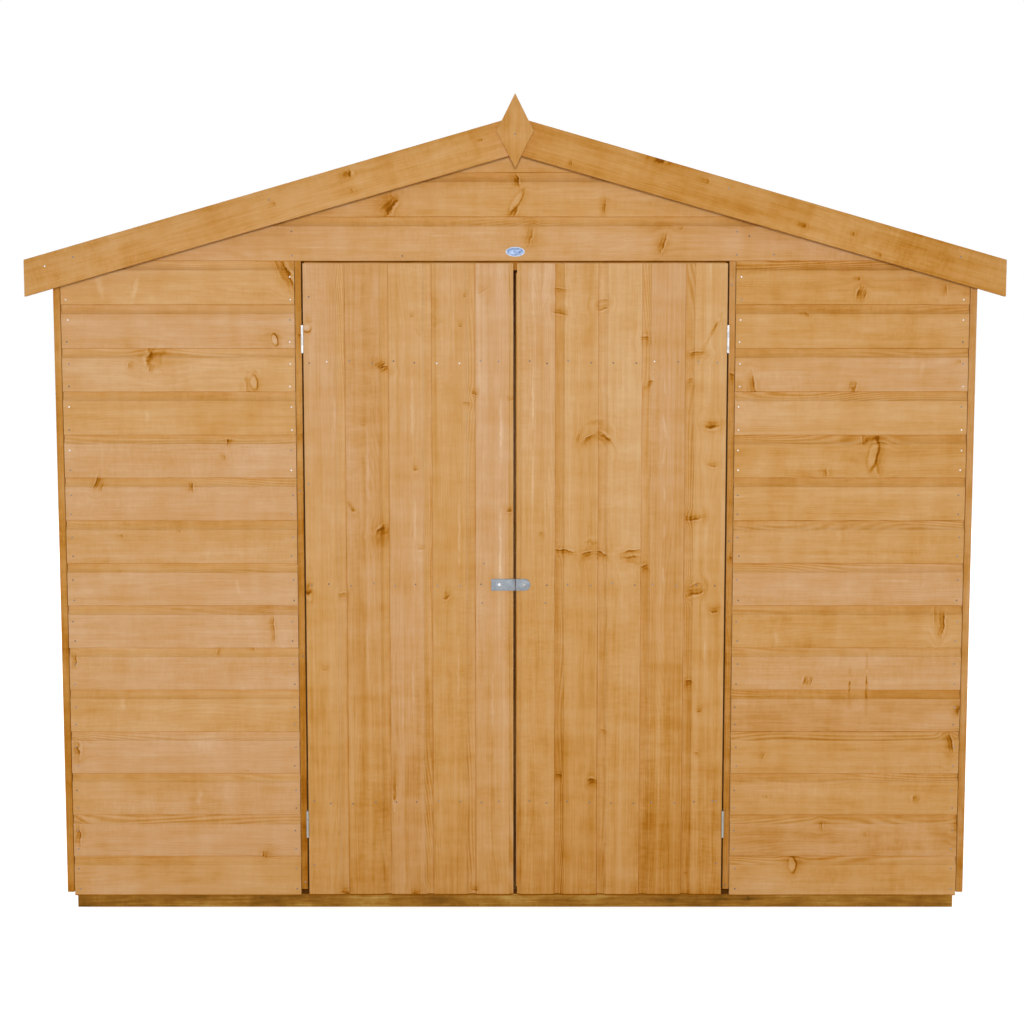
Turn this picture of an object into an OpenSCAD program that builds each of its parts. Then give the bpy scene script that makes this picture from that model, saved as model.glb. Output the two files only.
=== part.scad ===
// Wooden garden shed with an apex roof and double doors in the gable wall.
// Sizes are in millimetres. The front faces -Y and the ground is z = 0.

/* [Walls] */
// Width of the front and back walls, over the side boards
wall_w = 2360; // [1900:10:2800]
// Depth of the shed, over the front and back boards
wall_d = 2990; // [1800:10:4000]
// Height of the side walls' outer tops over the lower edge of the gable boards
eave_rise = 6; // [0:1:150]
// Thickness of the wall boards
clad_t = 12; // [8:0.5:18]
// Depth of the wall frame behind the boards
frame_d = 32; // [26:1:50]
// Face width of the posts, studs and rails
frame_w = 44; // [34:1:60]
// Number of studs in each side wall
side_studs = 5; // [3:1:8]
// Distance of the back wall's inner studs from the middle
back_stud_x = 390; // [200:5:600]

/* [Floor] */
// Height of the bearers under the floor
bearer_h = 40; // [30:1:75]
// Width of each bearer
bearer_w = 38; // [25:1:60]
// Number of bearers
bearer_count = 7; // [4:1:10]
// How far the outer bearers stand back from the wall faces
bearer_setback = 25; // [15:1:60]
// How far the bearer ends stop short of the side wall faces
bearer_end_gap = 3; // [0:1:20]
// Thickness of the floor boards
floor_t = 12; // [9:0.5:20]

/* [Doors] */
// Width of one door
door_w = 545; // [450:1:650]
// Height of the doors
door_h = 1677; // [1560:1:1700]
// Thickness of the door boards
door_t = 12; // [9:0.5:18]
// Gap between the two doors
door_mid_gap = 10; // [9:0.5:14]
// Gap between each door and its post
door_side_gap = 5; // [4:0.5:7]
// Gap over the doors
door_head_gap = 6; // [4:0.5:10]
// Height of the door bottoms over the wall boards' lower edge
door_foot_gap = 2; // [2:0.5:15]
// Clear space between the door boards and the frame behind them
door_back_gap = 5; // [5:0.5:9]
// Width of the upright stiles on the door backs
stile_w = 45; // [35:1:60]
// Thickness of the stiles, ledges and braces on the door backs
stile_t = 16; // [12:0.5:20]
// Clear height between the stiles and the rail over the doors
stile_head_gap = 7; // [5:0.5:20]
// Clear height between the stiles and the floor
stile_foot_gap = 10; // [5:0.5:20]
// How far the right meeting stile reaches into the gap between the doors
strip_reach = 3; // [0:0.5:3]
// Width of the cross ledges on the door backs
ledge_w = 70; // [50:1:90]
// Distance of the outer ledges' middles from the door ends
ledge_inset = 254; // [180:1:350]
// Width of the slanted braces on the door backs, along the ledges
brace_w = 70; // [50:1:90]

/* [Doorway] */
// Width of the jamb strips that show beside the doors
jamb_w = 16; // [12:0.5:25]
// Thickness of the jamb strips
jamb_t = 10; // [8:0.5:12]
// Height of the jamb strips' lower ends over the wall boards' lower edge
jamb_foot = 17; // [5:1:40]
// How far the rail over the doors hangs below the boards that it carries
head_rail_drop = 23; // [15:1:35]

/* [Hinges and latch] */
// Length of a hinge
hinge_h = 72; // [50:1:100]
// Distance of the hinge middles from the door ends
hinge_inset = 195; // [120:1:205]
// Outer radius of the hinge barrels
barrel_r = 3.5; // [2.8:0.1:4.5]
// Radius of the hinge pins
pin_r = 1.75; // [1.2:0.05:2.2]
// Running clearance around the hinge pins
pin_clear = 0.05; // [0.02:0.01:0.1]
// Gap between hinge pieces that turn against each other
hinge_clear = 0.4; // [0.3:0.1:0.8]
// Thickness of the hinge leaves
leaf_t = 1.5; // [1:0.1:1.8]
// Depth of the hinge leaves, front to back
leaf_d = 27; // [20:1:30]
// Gap between the hinge barrels and the door faces
barrel_gap = 0.5; // [0.3:0.1:1.5]
// Height of the latch plates
latch_h = 31; // [20:1:45]
// Thickness of the latch plates
latch_t = 3; // [2:0.5:5]
// Length of the left latch plate, from the middle of the doors
latch_left = 63; // [40:1:100]
// Length of the right latch plate, from the middle of the doors
latch_right = 40; // [30:1:80]
// Gap where the two latch plates meet
latch_gap = 1.6; // [1.2:0.1:3]
// Clearance between the left latch plate's end and the right meeting stile
latch_clear = 2.3; // [2:0.1:4]

/* [Roof] */
// Slope of the roof in degrees
pitch = 16; // [10:0.5:30]
// Thickness of the roof boards
roof_t = 12; // [9:0.5:20]
// How far the roof boards pass the side walls
eave_over = 70; // [40:1:120]
// How far the roof boards pass the front and back walls
verge_over = 42; // [20:1:90]
// Thickness of the roofing felt
felt_t = 2.5; // [1.5:0.5:4]
// How far the felt passes the eaves
felt_drip = 4; // [0:1:6]
// Height of the purlins under the roof boards
purlin_h = 44; // [30:1:60]
// Width of the purlins
purlin_w = 32; // [25:1:50]
// Gap between a pair of slanted pieces where they meet at the ridge
ridge_gap = 1; // [0.5:0.5:4]
// Gap between slanted pieces that lie on each other
seat_gap = 0.2; // [0.1:0.05:0.5]

/* [Trim] */
// Thickness of the barge boards
barge_t = 18; // [12:1:25]
// Width of the barge boards
barge_w = 90; // [70:1:130]
// How far the barge boards stand over the roof boards
barge_rise = 5; // [3:0.5:15]
// How far the barge boards pass the eaves
barge_past = 7; // [7:1:30]
// Width of the diamond finials
finial_w = 94; // [60:1:140]
// Height of the diamond finials
finial_h = 187; // [120:1:260]
// Thickness of the diamond finials
finial_t = 18; // [10:1:25]
// How far the finials' middles lie below the peak of the barge boards
finial_drop = 37; // [15:1:50]
// Width of the corner strips on the side walls
corner_w = 42; // [30:1:70]
// Thickness of the corner strips
corner_t = 18; // [10:1:25]
// Height of the corner strips' lower ends over the wall boards' lower edge
corner_foot = 9; // [0:1:40]
// Width of the blank oval plate over the doors
plate_w = 49; // [30:1:80]
// Height of the blank oval plate
plate_h = 25; // [15:1:40]
// Thickness of the blank oval plate
plate_t = 2; // [1:0.5:4]
// Height of the oval plate's middle over the lower edge of the gable boards
plate_up = 24; // [22:1:60]

/* [Hidden] */
$fn = 48;
slope = tan(pitch);
rake = 1 / cos(pitch);
half_w = wall_w / 2;
half_d = wall_d / 2;
y_front = -half_d;
y_frame = y_front + clad_t;
y_inside = y_frame + frame_d;
x_frame = half_w - clad_t;
x_inside = x_frame - frame_d;
floor_top = bearer_h + floor_t;
door_foot = bearer_h + door_foot_gap;
door_top = door_foot + door_h;
head_z = door_top + door_head_gap;
wall_h = head_z + eave_rise;
peak = wall_h + slope * half_w;
head_rail = head_z - head_rail_drop;
door_edge = door_mid_gap / 2;
hinge_edge = door_edge + door_w;
post_x = hinge_edge + door_side_gap;
open_x = post_x + jamb_w;
y_door_back = y_frame - door_back_gap;
y_door = y_door_back - door_t;
y_stile = y_door_back + stile_t;
stile_foot = floor_top + stile_foot_gap;
stile_top = head_rail - stile_head_gap;
ledge_low = door_foot + ledge_inset;
ledge_high = door_top - ledge_inset;
ledge_mid = (ledge_low + ledge_high) / 2;
axis_x = post_x - door_side_gap / 2;
axis_y = y_door - barrel_gap - barrel_r;
leaf_y = axis_y + barrel_r + hinge_clear;
barrel_h = hinge_h / 3;
hinge_low = door_foot + hinge_inset;
hinge_high = door_top - hinge_inset;
latch_end = door_edge - strip_reach - latch_clear;
latch_start = latch_end + latch_gap;
eave_x = half_w + eave_over;
y_verge = y_front - verge_over;
y_barge = y_verge - barge_t;
roof_low = seat_gap * rake;
roof_high = roof_low + roof_t * rake;
felt_low = roof_high + seat_gap * rake;
barge_high = roof_high + barge_rise * rake;
barge_peak = peak + barge_high;
rafter_drop = (frame_w + seat_gap) * rake;
side_run = wall_d - 2 * (clad_t + frame_d);
stud_step = (side_run - frame_w) / (side_studs - 1);
bearer_step = (wall_d - 2 * bearer_setback - bearer_w) / (bearer_count - 1);
purlin_first = purlin_h * slope + ridge_gap;
purlin_mid = (x_inside * rake - purlin_w) / 2;
wood = [0.80, 0.60, 0.38];
trim_wood = [0.76, 0.55, 0.31];
bearer_wood = [0.42, 0.31, 0.13];
frame_wood = [0.82, 0.68, 0.48];
felt_green = [0.22, 0.24, 0.23];
zinc = [0.62, 0.65, 0.68];

// Height of the roof boards' underside at a distance from the middle
function under(x) = wall_h + slope * (half_w - x);

// A box between two corners
module block(x0, x1, y0, y1, z0, z1) {
  translate([x0, y0, z0])
    cube([x1 - x0, y1 - y0, z1 - z0]);
}

// A slab that stands across the shed, from an outline in width and height
module slab(y0, y1) {
  translate([0, y1, 0])
    rotate([90, 0, 0])
      linear_extrude(height = y1 - y0)
        children();
}

module both_sides() {
  children();
  mirror([1, 0, 0])
    children();
}

module both_ends() {
  children();
  mirror([0, 1, 0])
    children();
}

// The gable outline, lowered by a drop, out to a half width
module gable(w, drop) {
  polygon([[-w, 0], [w, 0], [w, under(w) - drop], [0, peak - drop], [-w, under(w) - drop]]);
}

// One band along the right roof slope, between two heights over the boards' underside
module slope_band(x0, x1, low, high) {
  polygon([[x0, under(x0) + low], [x1, under(x1) + low],
    [x1, under(x1) + high], [x0, under(x0) + high]]);
}

module floor_bearers() {
  color(bearer_wood)
    for (i = [0 : bearer_count - 1])
      translate([0, y_front + bearer_setback + i * bearer_step, 0])
        block(-half_w + bearer_end_gap, half_w - bearer_end_gap, 0, bearer_w, 0, bearer_h);
}

module floor_boards() {
  color(frame_wood)
    block(-x_frame, x_frame, y_frame, -y_frame, bearer_h, floor_top);
}

module front_side_boards() {
  slab(y_front, y_frame)
    intersection() {
      gable(half_w, 0);
      translate([open_x, bearer_h])
        square([half_w - open_x, head_z - bearer_h]);
    }
}

module front_left_cladding() {
  color(wood)
    mirror([1, 0, 0])
      front_side_boards();
}

module front_right_cladding() {
  color(wood)
    front_side_boards();
}

module front_gable_cladding() {
  color(wood)
    slab(y_front, y_frame)
      intersection() {
        gable(half_w, 0);
        translate([-half_w, head_z])
          square([wall_w, peak - head_z]);
      }
}

// A corner post whose head follows the rafter over it
module corner_post() {
  slab(y_frame, y_inside)
    polygon([[x_frame - frame_w, floor_top], [x_frame, floor_top],
      [x_frame, under(x_frame) - rafter_drop],
      [x_frame - frame_w, under(x_frame - frame_w) - rafter_drop]]);
}

module front_posts() {
  color(frame_wood)
    both_sides() {
      corner_post();
      block(post_x, post_x + frame_w, y_frame, y_inside, floor_top, head_rail);
    }
}

module front_rails() {
  color(frame_wood) {
    both_sides()
      block(post_x + frame_w, x_frame - frame_w, y_frame, y_inside,
        floor_top, floor_top + frame_w);
    slab(y_frame, y_inside)
      intersection() {
        gable(x_frame - frame_w, rafter_drop);
        translate([-half_w, head_rail])
          square([wall_w, frame_w]);
      }
  }
}

module rafter_pair() {
  both_sides()
    slab(y_frame, y_inside)
      slope_band(ridge_gap / 2, x_frame, -frame_w * rake, 0);
}

module front_rafters() {
  color(frame_wood)
    rafter_pair();
}

module jamb_strips() {
  color(trim_wood)
    both_sides()
      block(post_x, open_x, y_frame - jamb_t, y_frame, bearer_h + jamb_foot, head_z);
}

module side_boards() {
  slab(y_frame, -y_frame)
    polygon([[x_frame, bearer_h], [half_w, bearer_h],
      [half_w, wall_h], [x_frame, under(x_frame)]]);
}

module side_stud_row() {
  for (i = [0 : side_studs - 1])
    translate([0, y_inside + i * stud_step, 0])
      block(x_inside, x_frame, 0, frame_w, floor_top + frame_w, under(x_frame) - frame_w);
}

module side_rail_pair() {
  block(x_inside, x_frame, y_inside, -y_inside, floor_top, floor_top + frame_w);
  slab(y_inside, -y_inside)
    polygon([[x_inside, under(x_frame) - frame_w], [x_frame, under(x_frame) - frame_w],
      [x_frame, under(x_frame)], [x_inside, under(x_inside)]]);
}

module left_cladding() {
  color(wood)
    mirror([1, 0, 0])
      side_boards();
}

module left_studs() {
  color(frame_wood)
    mirror([1, 0, 0])
      side_stud_row();
}

module left_rails() {
  color(frame_wood)
    mirror([1, 0, 0])
      side_rail_pair();
}

module right_cladding() {
  color(wood)
    side_boards();
}

module right_studs() {
  color(frame_wood)
    side_stud_row();
}

module right_rails() {
  color(frame_wood)
    side_rail_pair();
}

module back_cladding() {
  color(wood)
    mirror([0, 1, 0])
      slab(y_front, y_frame)
        intersection() {
          gable(half_w, 0);
          translate([-half_w, bearer_h])
            square([wall_w, peak]);
        }
}

// An inner stud whose head follows the rafter over it
module back_inner_stud() {
  slab(y_frame, y_inside)
    polygon([[back_stud_x, floor_top + frame_w], [back_stud_x + frame_w, floor_top + frame_w],
      [back_stud_x + frame_w, under(back_stud_x + frame_w) - rafter_drop],
      [back_stud_x, under(back_stud_x) - rafter_drop]]);
}

module back_studs() {
  color(frame_wood)
    mirror([0, 1, 0])
      both_sides() {
        corner_post();
        back_inner_stud();
      }
}

module back_rail() {
  color(frame_wood)
    mirror([0, 1, 0])
      block(-x_frame + frame_w, x_frame - frame_w, y_frame, y_inside,
        floor_top, floor_top + frame_w);
}

module back_rafters() {
  color(frame_wood)
    mirror([0, 1, 0])
      rafter_pair();
}

module corner_strips() {
  color(trim_wood)
    both_ends()
      both_sides()
        slab(y_front, y_front + corner_w)
          polygon([[half_w, bearer_h + corner_foot], [half_w + corner_t, bearer_h + corner_foot],
            [half_w + corner_t, under(half_w + corner_t)], [half_w, wall_h]]);
}

module roof_board_slab() {
  slab(y_verge, -y_verge)
    slope_band(0, eave_x, roof_low, roof_high);
}

module left_roof_boards() {
  color(wood)
    mirror([1, 0, 0])
      roof_board_slab();
}

module right_roof_boards() {
  color(wood)
    roof_board_slab();
}

// A purlin on the right slope, at a distance down from the ridge
module purlin_at(d) {
  translate([0, 0, peak])
    rotate([0, pitch, 0])
      block(d, d + purlin_w, y_inside + seat_gap, -y_inside - seat_gap, -purlin_h, 0);
}

module purlins() {
  color(frame_wood)
    both_sides() {
      purlin_at(purlin_first);
      purlin_at(purlin_mid);
    }
}

module felt_sheet() {
  slab(y_verge, -y_verge)
    slope_band(0, eave_x + felt_drip, felt_low, felt_low + felt_t * rake);
}

module left_felt() {
  color(felt_green)
    mirror([1, 0, 0])
      felt_sheet();
}

module right_felt() {
  color(felt_green)
    felt_sheet();
}

module barge() {
  slab(y_barge, y_verge)
    slope_band(0, eave_x + barge_past, barge_high - barge_w * rake, barge_high);
}

module front_left_barge() {
  color(trim_wood)
    mirror([1, 0, 0])
      barge();
}

module front_right_barge() {
  color(trim_wood)
    barge();
}

module back_left_barge() {
  color(trim_wood)
    mirror([0, 1, 0])
      mirror([1, 0, 0])
        barge();
}

module back_right_barge() {
  color(trim_wood)
    mirror([0, 1, 0])
      barge();
}

module finial() {
  slab(y_barge - finial_t, y_barge)
    translate([0, barge_peak - finial_drop])
      polygon([[0, -finial_h / 2], [finial_w / 2, 0], [0, finial_h / 2], [-finial_w / 2, 0]]);
}

module front_finial() {
  color(trim_wood)
    finial();
}

module back_finial() {
  color(trim_wood)
    mirror([0, 1, 0])
      finial();
}

module name_plate() {
  color(zinc)
    slab(y_front - plate_t, y_front)
      translate([0, head_z + plate_up])
        polygon([for (i = [0 : 47])
          [cos(i * 7.5) * plate_w / 2, sin(i * 7.5) * plate_h / 2]]);
}

// A hinge barrel along the right hinge line, from one height to another
module barrel(z0, z1, r) {
  translate([axis_x, axis_y, z0])
    cylinder(r = r, h = z1 - z0);
}

// The fixed half of a right hinge: leaf on the post, outer barrels and the pin
module post_leaf(z) {
  block(post_x - leaf_t, post_x, leaf_y, leaf_y + leaf_d, z - hinge_h / 2, z + hinge_h / 2);
  for (end = [-1, 1]) {
    z0 = z + (end < 0 ? -hinge_h / 2 : barrel_h / 2 + hinge_clear / 2);
    z1 = z + (end < 0 ? -barrel_h / 2 - hinge_clear / 2 : hinge_h / 2);
    barrel(z0, z1, barrel_r);
    block(post_x - leaf_t, post_x, axis_y, leaf_y, z0, z1);
  }
  barrel(z - hinge_h / 2, z + hinge_h / 2, pin_r);
}

module post_hinge_leaves() {
  color(zinc)
    both_sides() {
      post_leaf(hinge_low);
      post_leaf(hinge_high);
    }
}

// The moving half of a right hinge: leaf on the door edge and the bored middle barrel
module door_leaf(z) {
  z0 = z - barrel_h / 2 + hinge_clear / 2;
  z1 = z + barrel_h / 2 - hinge_clear / 2;
  block(hinge_edge, hinge_edge + leaf_t, leaf_y, leaf_y + leaf_d,
    z - hinge_h / 2, z + hinge_h / 2);
  difference() {
    union() {
      barrel(z0, z1, barrel_r);
      block(hinge_edge, hinge_edge + leaf_t, axis_y, leaf_y, z0, z1);
    }
    barrel(z0 - 1, z1 + 1, pin_r + pin_clear);
  }
}

module door_hinge_pair() {
  door_leaf(hinge_low);
  door_leaf(hinge_high);
}

module door_boards() {
  block(door_edge, hinge_edge, y_door, y_door_back, door_foot, door_top);
}

module door_stile_pair(reach) {
  block(hinge_edge - stile_w, hinge_edge, y_door_back, y_stile, stile_foot, stile_top);
  block(door_edge - reach, door_edge + stile_w, y_door_back, y_stile, stile_foot, stile_top);
}

module door_ledge_row() {
  for (z = [ledge_low, ledge_mid, ledge_high])
    block(door_edge + stile_w, hinge_edge - stile_w, y_door_back, y_stile,
      z - ledge_w / 2, z + ledge_w / 2);
}

// A slanted brace that rises from the hinge side to the meeting side
module brace(z0, z1) {
  slab(y_door_back, y_stile)
    polygon([[hinge_edge - stile_w - brace_w, z0], [hinge_edge - stile_w, z0],
      [door_edge + stile_w + brace_w, z1], [door_edge + stile_w, z1]]);
}

module door_brace_pair() {
  brace(ledge_low + ledge_w / 2, ledge_mid - ledge_w / 2);
  brace(ledge_mid + ledge_w / 2, ledge_high - ledge_w / 2);
}

module left_door_boards() {
  color(wood)
    mirror([1, 0, 0])
      door_boards();
}

module left_door_stiles() {
  color(frame_wood)
    mirror([1, 0, 0])
      door_stile_pair(0);
}

module left_door_ledges() {
  color(frame_wood)
    mirror([1, 0, 0])
      door_ledge_row();
}

module left_door_braces() {
  color(frame_wood)
    mirror([1, 0, 0])
      door_brace_pair();
}

module left_door_hinges() {
  color(zinc)
    mirror([1, 0, 0])
      door_hinge_pair();
}

module left_latch_plate() {
  color(zinc)
    block(-latch_left, latch_end, y_door - latch_t, y_door,
      ledge_mid - latch_h / 2, ledge_mid + latch_h / 2);
}

module right_door_boards() {
  color(wood)
    door_boards();
}

module right_door_stiles() {
  color(frame_wood)
    door_stile_pair(strip_reach);
}

module right_door_ledges() {
  color(frame_wood)
    door_ledge_row();
}

module right_door_braces() {
  color(frame_wood)
    door_brace_pair();
}

module right_door_hinges() {
  color(zinc)
    door_hinge_pair();
}

module right_latch_plate() {
  color(zinc)
    slab(y_door - latch_t, y_door)
      union() {
        translate([latch_start, ledge_mid - latch_h / 2])
          square([latch_right - latch_h / 2 - latch_start, latch_h]);
        translate([latch_right - latch_h / 2, ledge_mid])
          circle(d = latch_h);
      }
}

floor_bearers();
floor_boards();
front_left_cladding();
front_right_cladding();
front_gable_cladding();
front_posts();
front_rails();
front_rafters();
jamb_strips();
left_cladding();
left_studs();
left_rails();
right_cladding();
right_studs();
right_rails();
back_cladding();
back_studs();
back_rail();
back_rafters();
corner_strips();
left_roof_boards();
right_roof_boards();
purlins();
left_felt();
right_felt();
front_left_barge();
front_right_barge();
back_left_barge();
back_right_barge();
front_finial();
back_finial();
name_plate();
post_hinge_leaves();
left_door_boards();
left_door_stiles();
left_door_ledges();
left_door_braces();
left_door_hinges();
left_latch_plate();
right_door_boards();
right_door_stiles();
right_door_ledges();
right_door_braces();
right_door_hinges();
right_latch_plate();
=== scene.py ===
import math
import random
from collections import namedtuple
import bmesh
import bpy
from mathutils import Matrix, Vector
from mathutils.noise import noise as waver


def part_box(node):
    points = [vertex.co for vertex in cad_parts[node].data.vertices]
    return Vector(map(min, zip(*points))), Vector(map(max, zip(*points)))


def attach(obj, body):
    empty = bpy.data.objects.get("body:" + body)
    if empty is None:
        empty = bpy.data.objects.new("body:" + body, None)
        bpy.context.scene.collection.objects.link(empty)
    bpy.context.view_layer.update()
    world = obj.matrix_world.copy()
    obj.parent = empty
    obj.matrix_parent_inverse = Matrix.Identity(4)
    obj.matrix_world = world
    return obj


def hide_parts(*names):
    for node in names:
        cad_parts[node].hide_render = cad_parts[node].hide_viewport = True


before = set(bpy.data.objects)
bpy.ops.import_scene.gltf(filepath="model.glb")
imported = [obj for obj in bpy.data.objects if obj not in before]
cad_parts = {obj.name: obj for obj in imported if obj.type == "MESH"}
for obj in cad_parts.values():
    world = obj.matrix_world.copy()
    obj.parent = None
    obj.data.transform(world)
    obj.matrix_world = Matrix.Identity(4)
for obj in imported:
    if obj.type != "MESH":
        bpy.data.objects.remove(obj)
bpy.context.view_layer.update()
scene = bpy.context.scene
mm = 0.001
print("frame loaded:", len(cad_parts), "nodes")


# Small helpers for shader trees

def tint(red, green, blue):
    parts = [c / 255 for c in (red, green, blue)]
    return tuple(c / 12.92 if c <= 0.04045 else ((c + 0.055) / 1.055) ** 2.4 for c in parts) + (1.0,)


def put(tree, kind, **settings):
    node = tree.nodes.new("ShaderNode" + kind)
    for key, value in settings.items():
        setattr(node, key, value)
    return node


def feed(tree, socket, value):
    if isinstance(value, bpy.types.NodeSocket):
        tree.links.new(value, socket)
    elif value is not None:
        socket.default_value = value


def calc(tree, operation, *values):
    node = put(tree, "Math", operation=operation)
    for socket, value in zip(node.inputs, values):
        feed(tree, socket, value)
    return node.outputs[0]


def times(tree, first, second):
    return calc(tree, "MULTIPLY", first, second)


def plus(tree, base, value, amount):                    # base + value * amount
    return calc(tree, "MULTIPLY_ADD", value, amount, base)


def gapFrom(tree, value, centre):
    return calc(tree, "ABSOLUTE", calc(tree, "SUBTRACT", value, centre))


def vectorCalc(tree, operation, first, second=None):
    node = put(tree, "VectorMath", operation=operation)
    feed(tree, node.inputs[0], first)
    feed(tree, node.inputs[1], second)
    return node.outputs


def remap(tree, value, low, high, newLow=0.0, newHigh=1.0, kind="SMOOTHSTEP"):
    node = put(tree, "MapRange", interpolation_type=kind)
    for socket, given in zip(node.inputs, (value, low, high, newLow, newHigh)):
        feed(tree, socket, given)
    return node.outputs[0]


def blend(tree, factor, first, second, mode="MIX"):
    node = put(tree, "Mix", data_type="RGBA", blend_type=mode)
    for index, given in ((0, factor), (6, first), (7, second)):     # the node's colour sockets
        feed(tree, node.inputs[index], given)
    return node.outputs[2]


def noiseAt(tree, place, scale, detail, roughness=0.5):
    node = put(tree, "TexNoise")
    for label, given in (("Vector", place), ("Scale", scale), ("Detail", detail), ("Roughness", roughness)):
        feed(tree, node.inputs[label], given)
    return node.outputs


def split(tree, place):
    node = put(tree, "SeparateXYZ")
    feed(tree, node.inputs[0], place)
    return node.outputs


def joined(tree, x, y, z=0.0):
    node = put(tree, "CombineXYZ")
    for socket, given in zip(node.inputs, (x, y, z)):
        feed(tree, socket, given)
    return node.outputs[0]


def attribute(tree, name):
    return put(tree, "Attribute", attribute_name=name).outputs["Vector"]


def objectPlace(tree):
    return put(tree, "TexCoord").outputs["Object"]


def newGroup(name, inputs, outputs):
    tree = bpy.data.node_groups.new(name, "ShaderNodeTree")
    for label, kind in inputs.items():
        tree.interface.new_socket(label, in_out="INPUT", socket_type="NodeSocket" + kind)
    for label in outputs:
        tree.interface.new_socket(label, in_out="OUTPUT", socket_type="NodeSocketFloat")
    return tree, tree.nodes.new("NodeGroupInput").outputs, tree.nodes.new("NodeGroupOutput").inputs


def useGroup(tree, name, **values):
    node = put(tree, "Group", node_tree=bpy.data.node_groups[name])
    for label, value in values.items():
        feed(tree, node.inputs[label], value)
    return node.outputs


def newMaterial(name):
    material = bpy.data.materials.new(name)
    material.use_nodes = True
    tree = material.node_tree
    return material, tree, tree.nodes["Principled BSDF"].inputs


def bump(tree, height, strength, distance):
    node = put(tree, "Bump")
    for label, given in (("Height", height), ("Strength", strength), ("Distance", distance)):
        feed(tree, node.inputs[label], given)
    return node.outputs[0]


# Shared effects: grain of a plank and one knot in it

figureParts = ("Band", "Streak", "Lines", "Fibre", "Blotch", "Saw", "Chatter")
figure = {                                              # cells per metre along, across and into the wood
    "band": (1.6, 42, 42), "streak": (0.4, 75, 75), "drift": (1.7, 11, 11), "ringPatch": (1.3, 22, 22),
    "fibre": (9, 270, 270), "blotch": (6, 13, 13), "saw": (150, 38, 38), "chatter": (26, 4, 4),
    "ringDrift": 90.0, "ringsAcross": 780.0,
}


def grainFigure():
    tree, given, out = newGroup("grainFigure", {"Place": "Vector", "Bend": "Float"}, figureParts)
    along, across, depth = split(tree, given["Place"])
    across = calc(tree, "ADD", across, given["Bend"])
    bent, straight = joined(tree, along, across, depth), given["Place"]

    def cells(label, place, detail, roughness=0.5):
        stretched = vectorCalc(tree, "MULTIPLY", place, figure[label])[0]
        return noiseAt(tree, stretched, 1.0, detail, roughness)[0]

    feed(tree, out["Band"], cells("band", bent, 4, 0.65))
    feed(tree, out["Streak"], cells("streak", bent, 3, 0.6))
    drift = cells("drift", bent, 1)
    ring = plus(tree, times(tree, across, figure["ringsAcross"]), drift, figure["ringDrift"])
    patch = remap(tree, cells("ringPatch", bent, 1), 0.45, 0.65)
    lines = times(tree, calc(tree, "SINE", ring), patch)
    feed(tree, out["Lines"], plus(tree, 0.5, lines, 0.5))
    feed(tree, out["Fibre"], cells("fibre", straight, 2))
    feed(tree, out["Blotch"], cells("blotch", bent, 5, 0.7))
    saw = calc(tree, "SUBTRACT", cells("saw", straight, 2), 0.5)
    feed(tree, out["Saw"], plus(tree, 0.5, saw, remap(tree, drift, 0.4, 0.65)))
    feed(tree, out["Chatter"], cells("chatter", straight, 3))


# A knot cut on the slant is a wing with one sharp edge, and one cut square is an eye with a dark rim

knotParts = ("Fill", "Edge", "Ripple", "Halo", "Pale", "Bend")
knotSlots = "ABCD"                                      # as many knots as one face can carry
knotShape = {                                           # lengths are shares of half the knot
    "wobbleLong": 1.8, "wobbleWide": 1.3, "eyeWobbleLong": 0.5, "eyeWobbleWide": 0.4,
    "wing": 0.4, "squash": 0.6, "ripples": 6.5, "ripplePhase": -2.0,
    "edgeAt": 0.55, "edgeWidth": 0.32, "rimAt": 0.85, "rimWidth": 0.28, "rimDark": 2.6, "eyeGlow": 1.8,
    "crestAt": 1.0, "crestWidth": 0.35, "crestPale": 0.6, "pull": -0.7,
}


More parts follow.
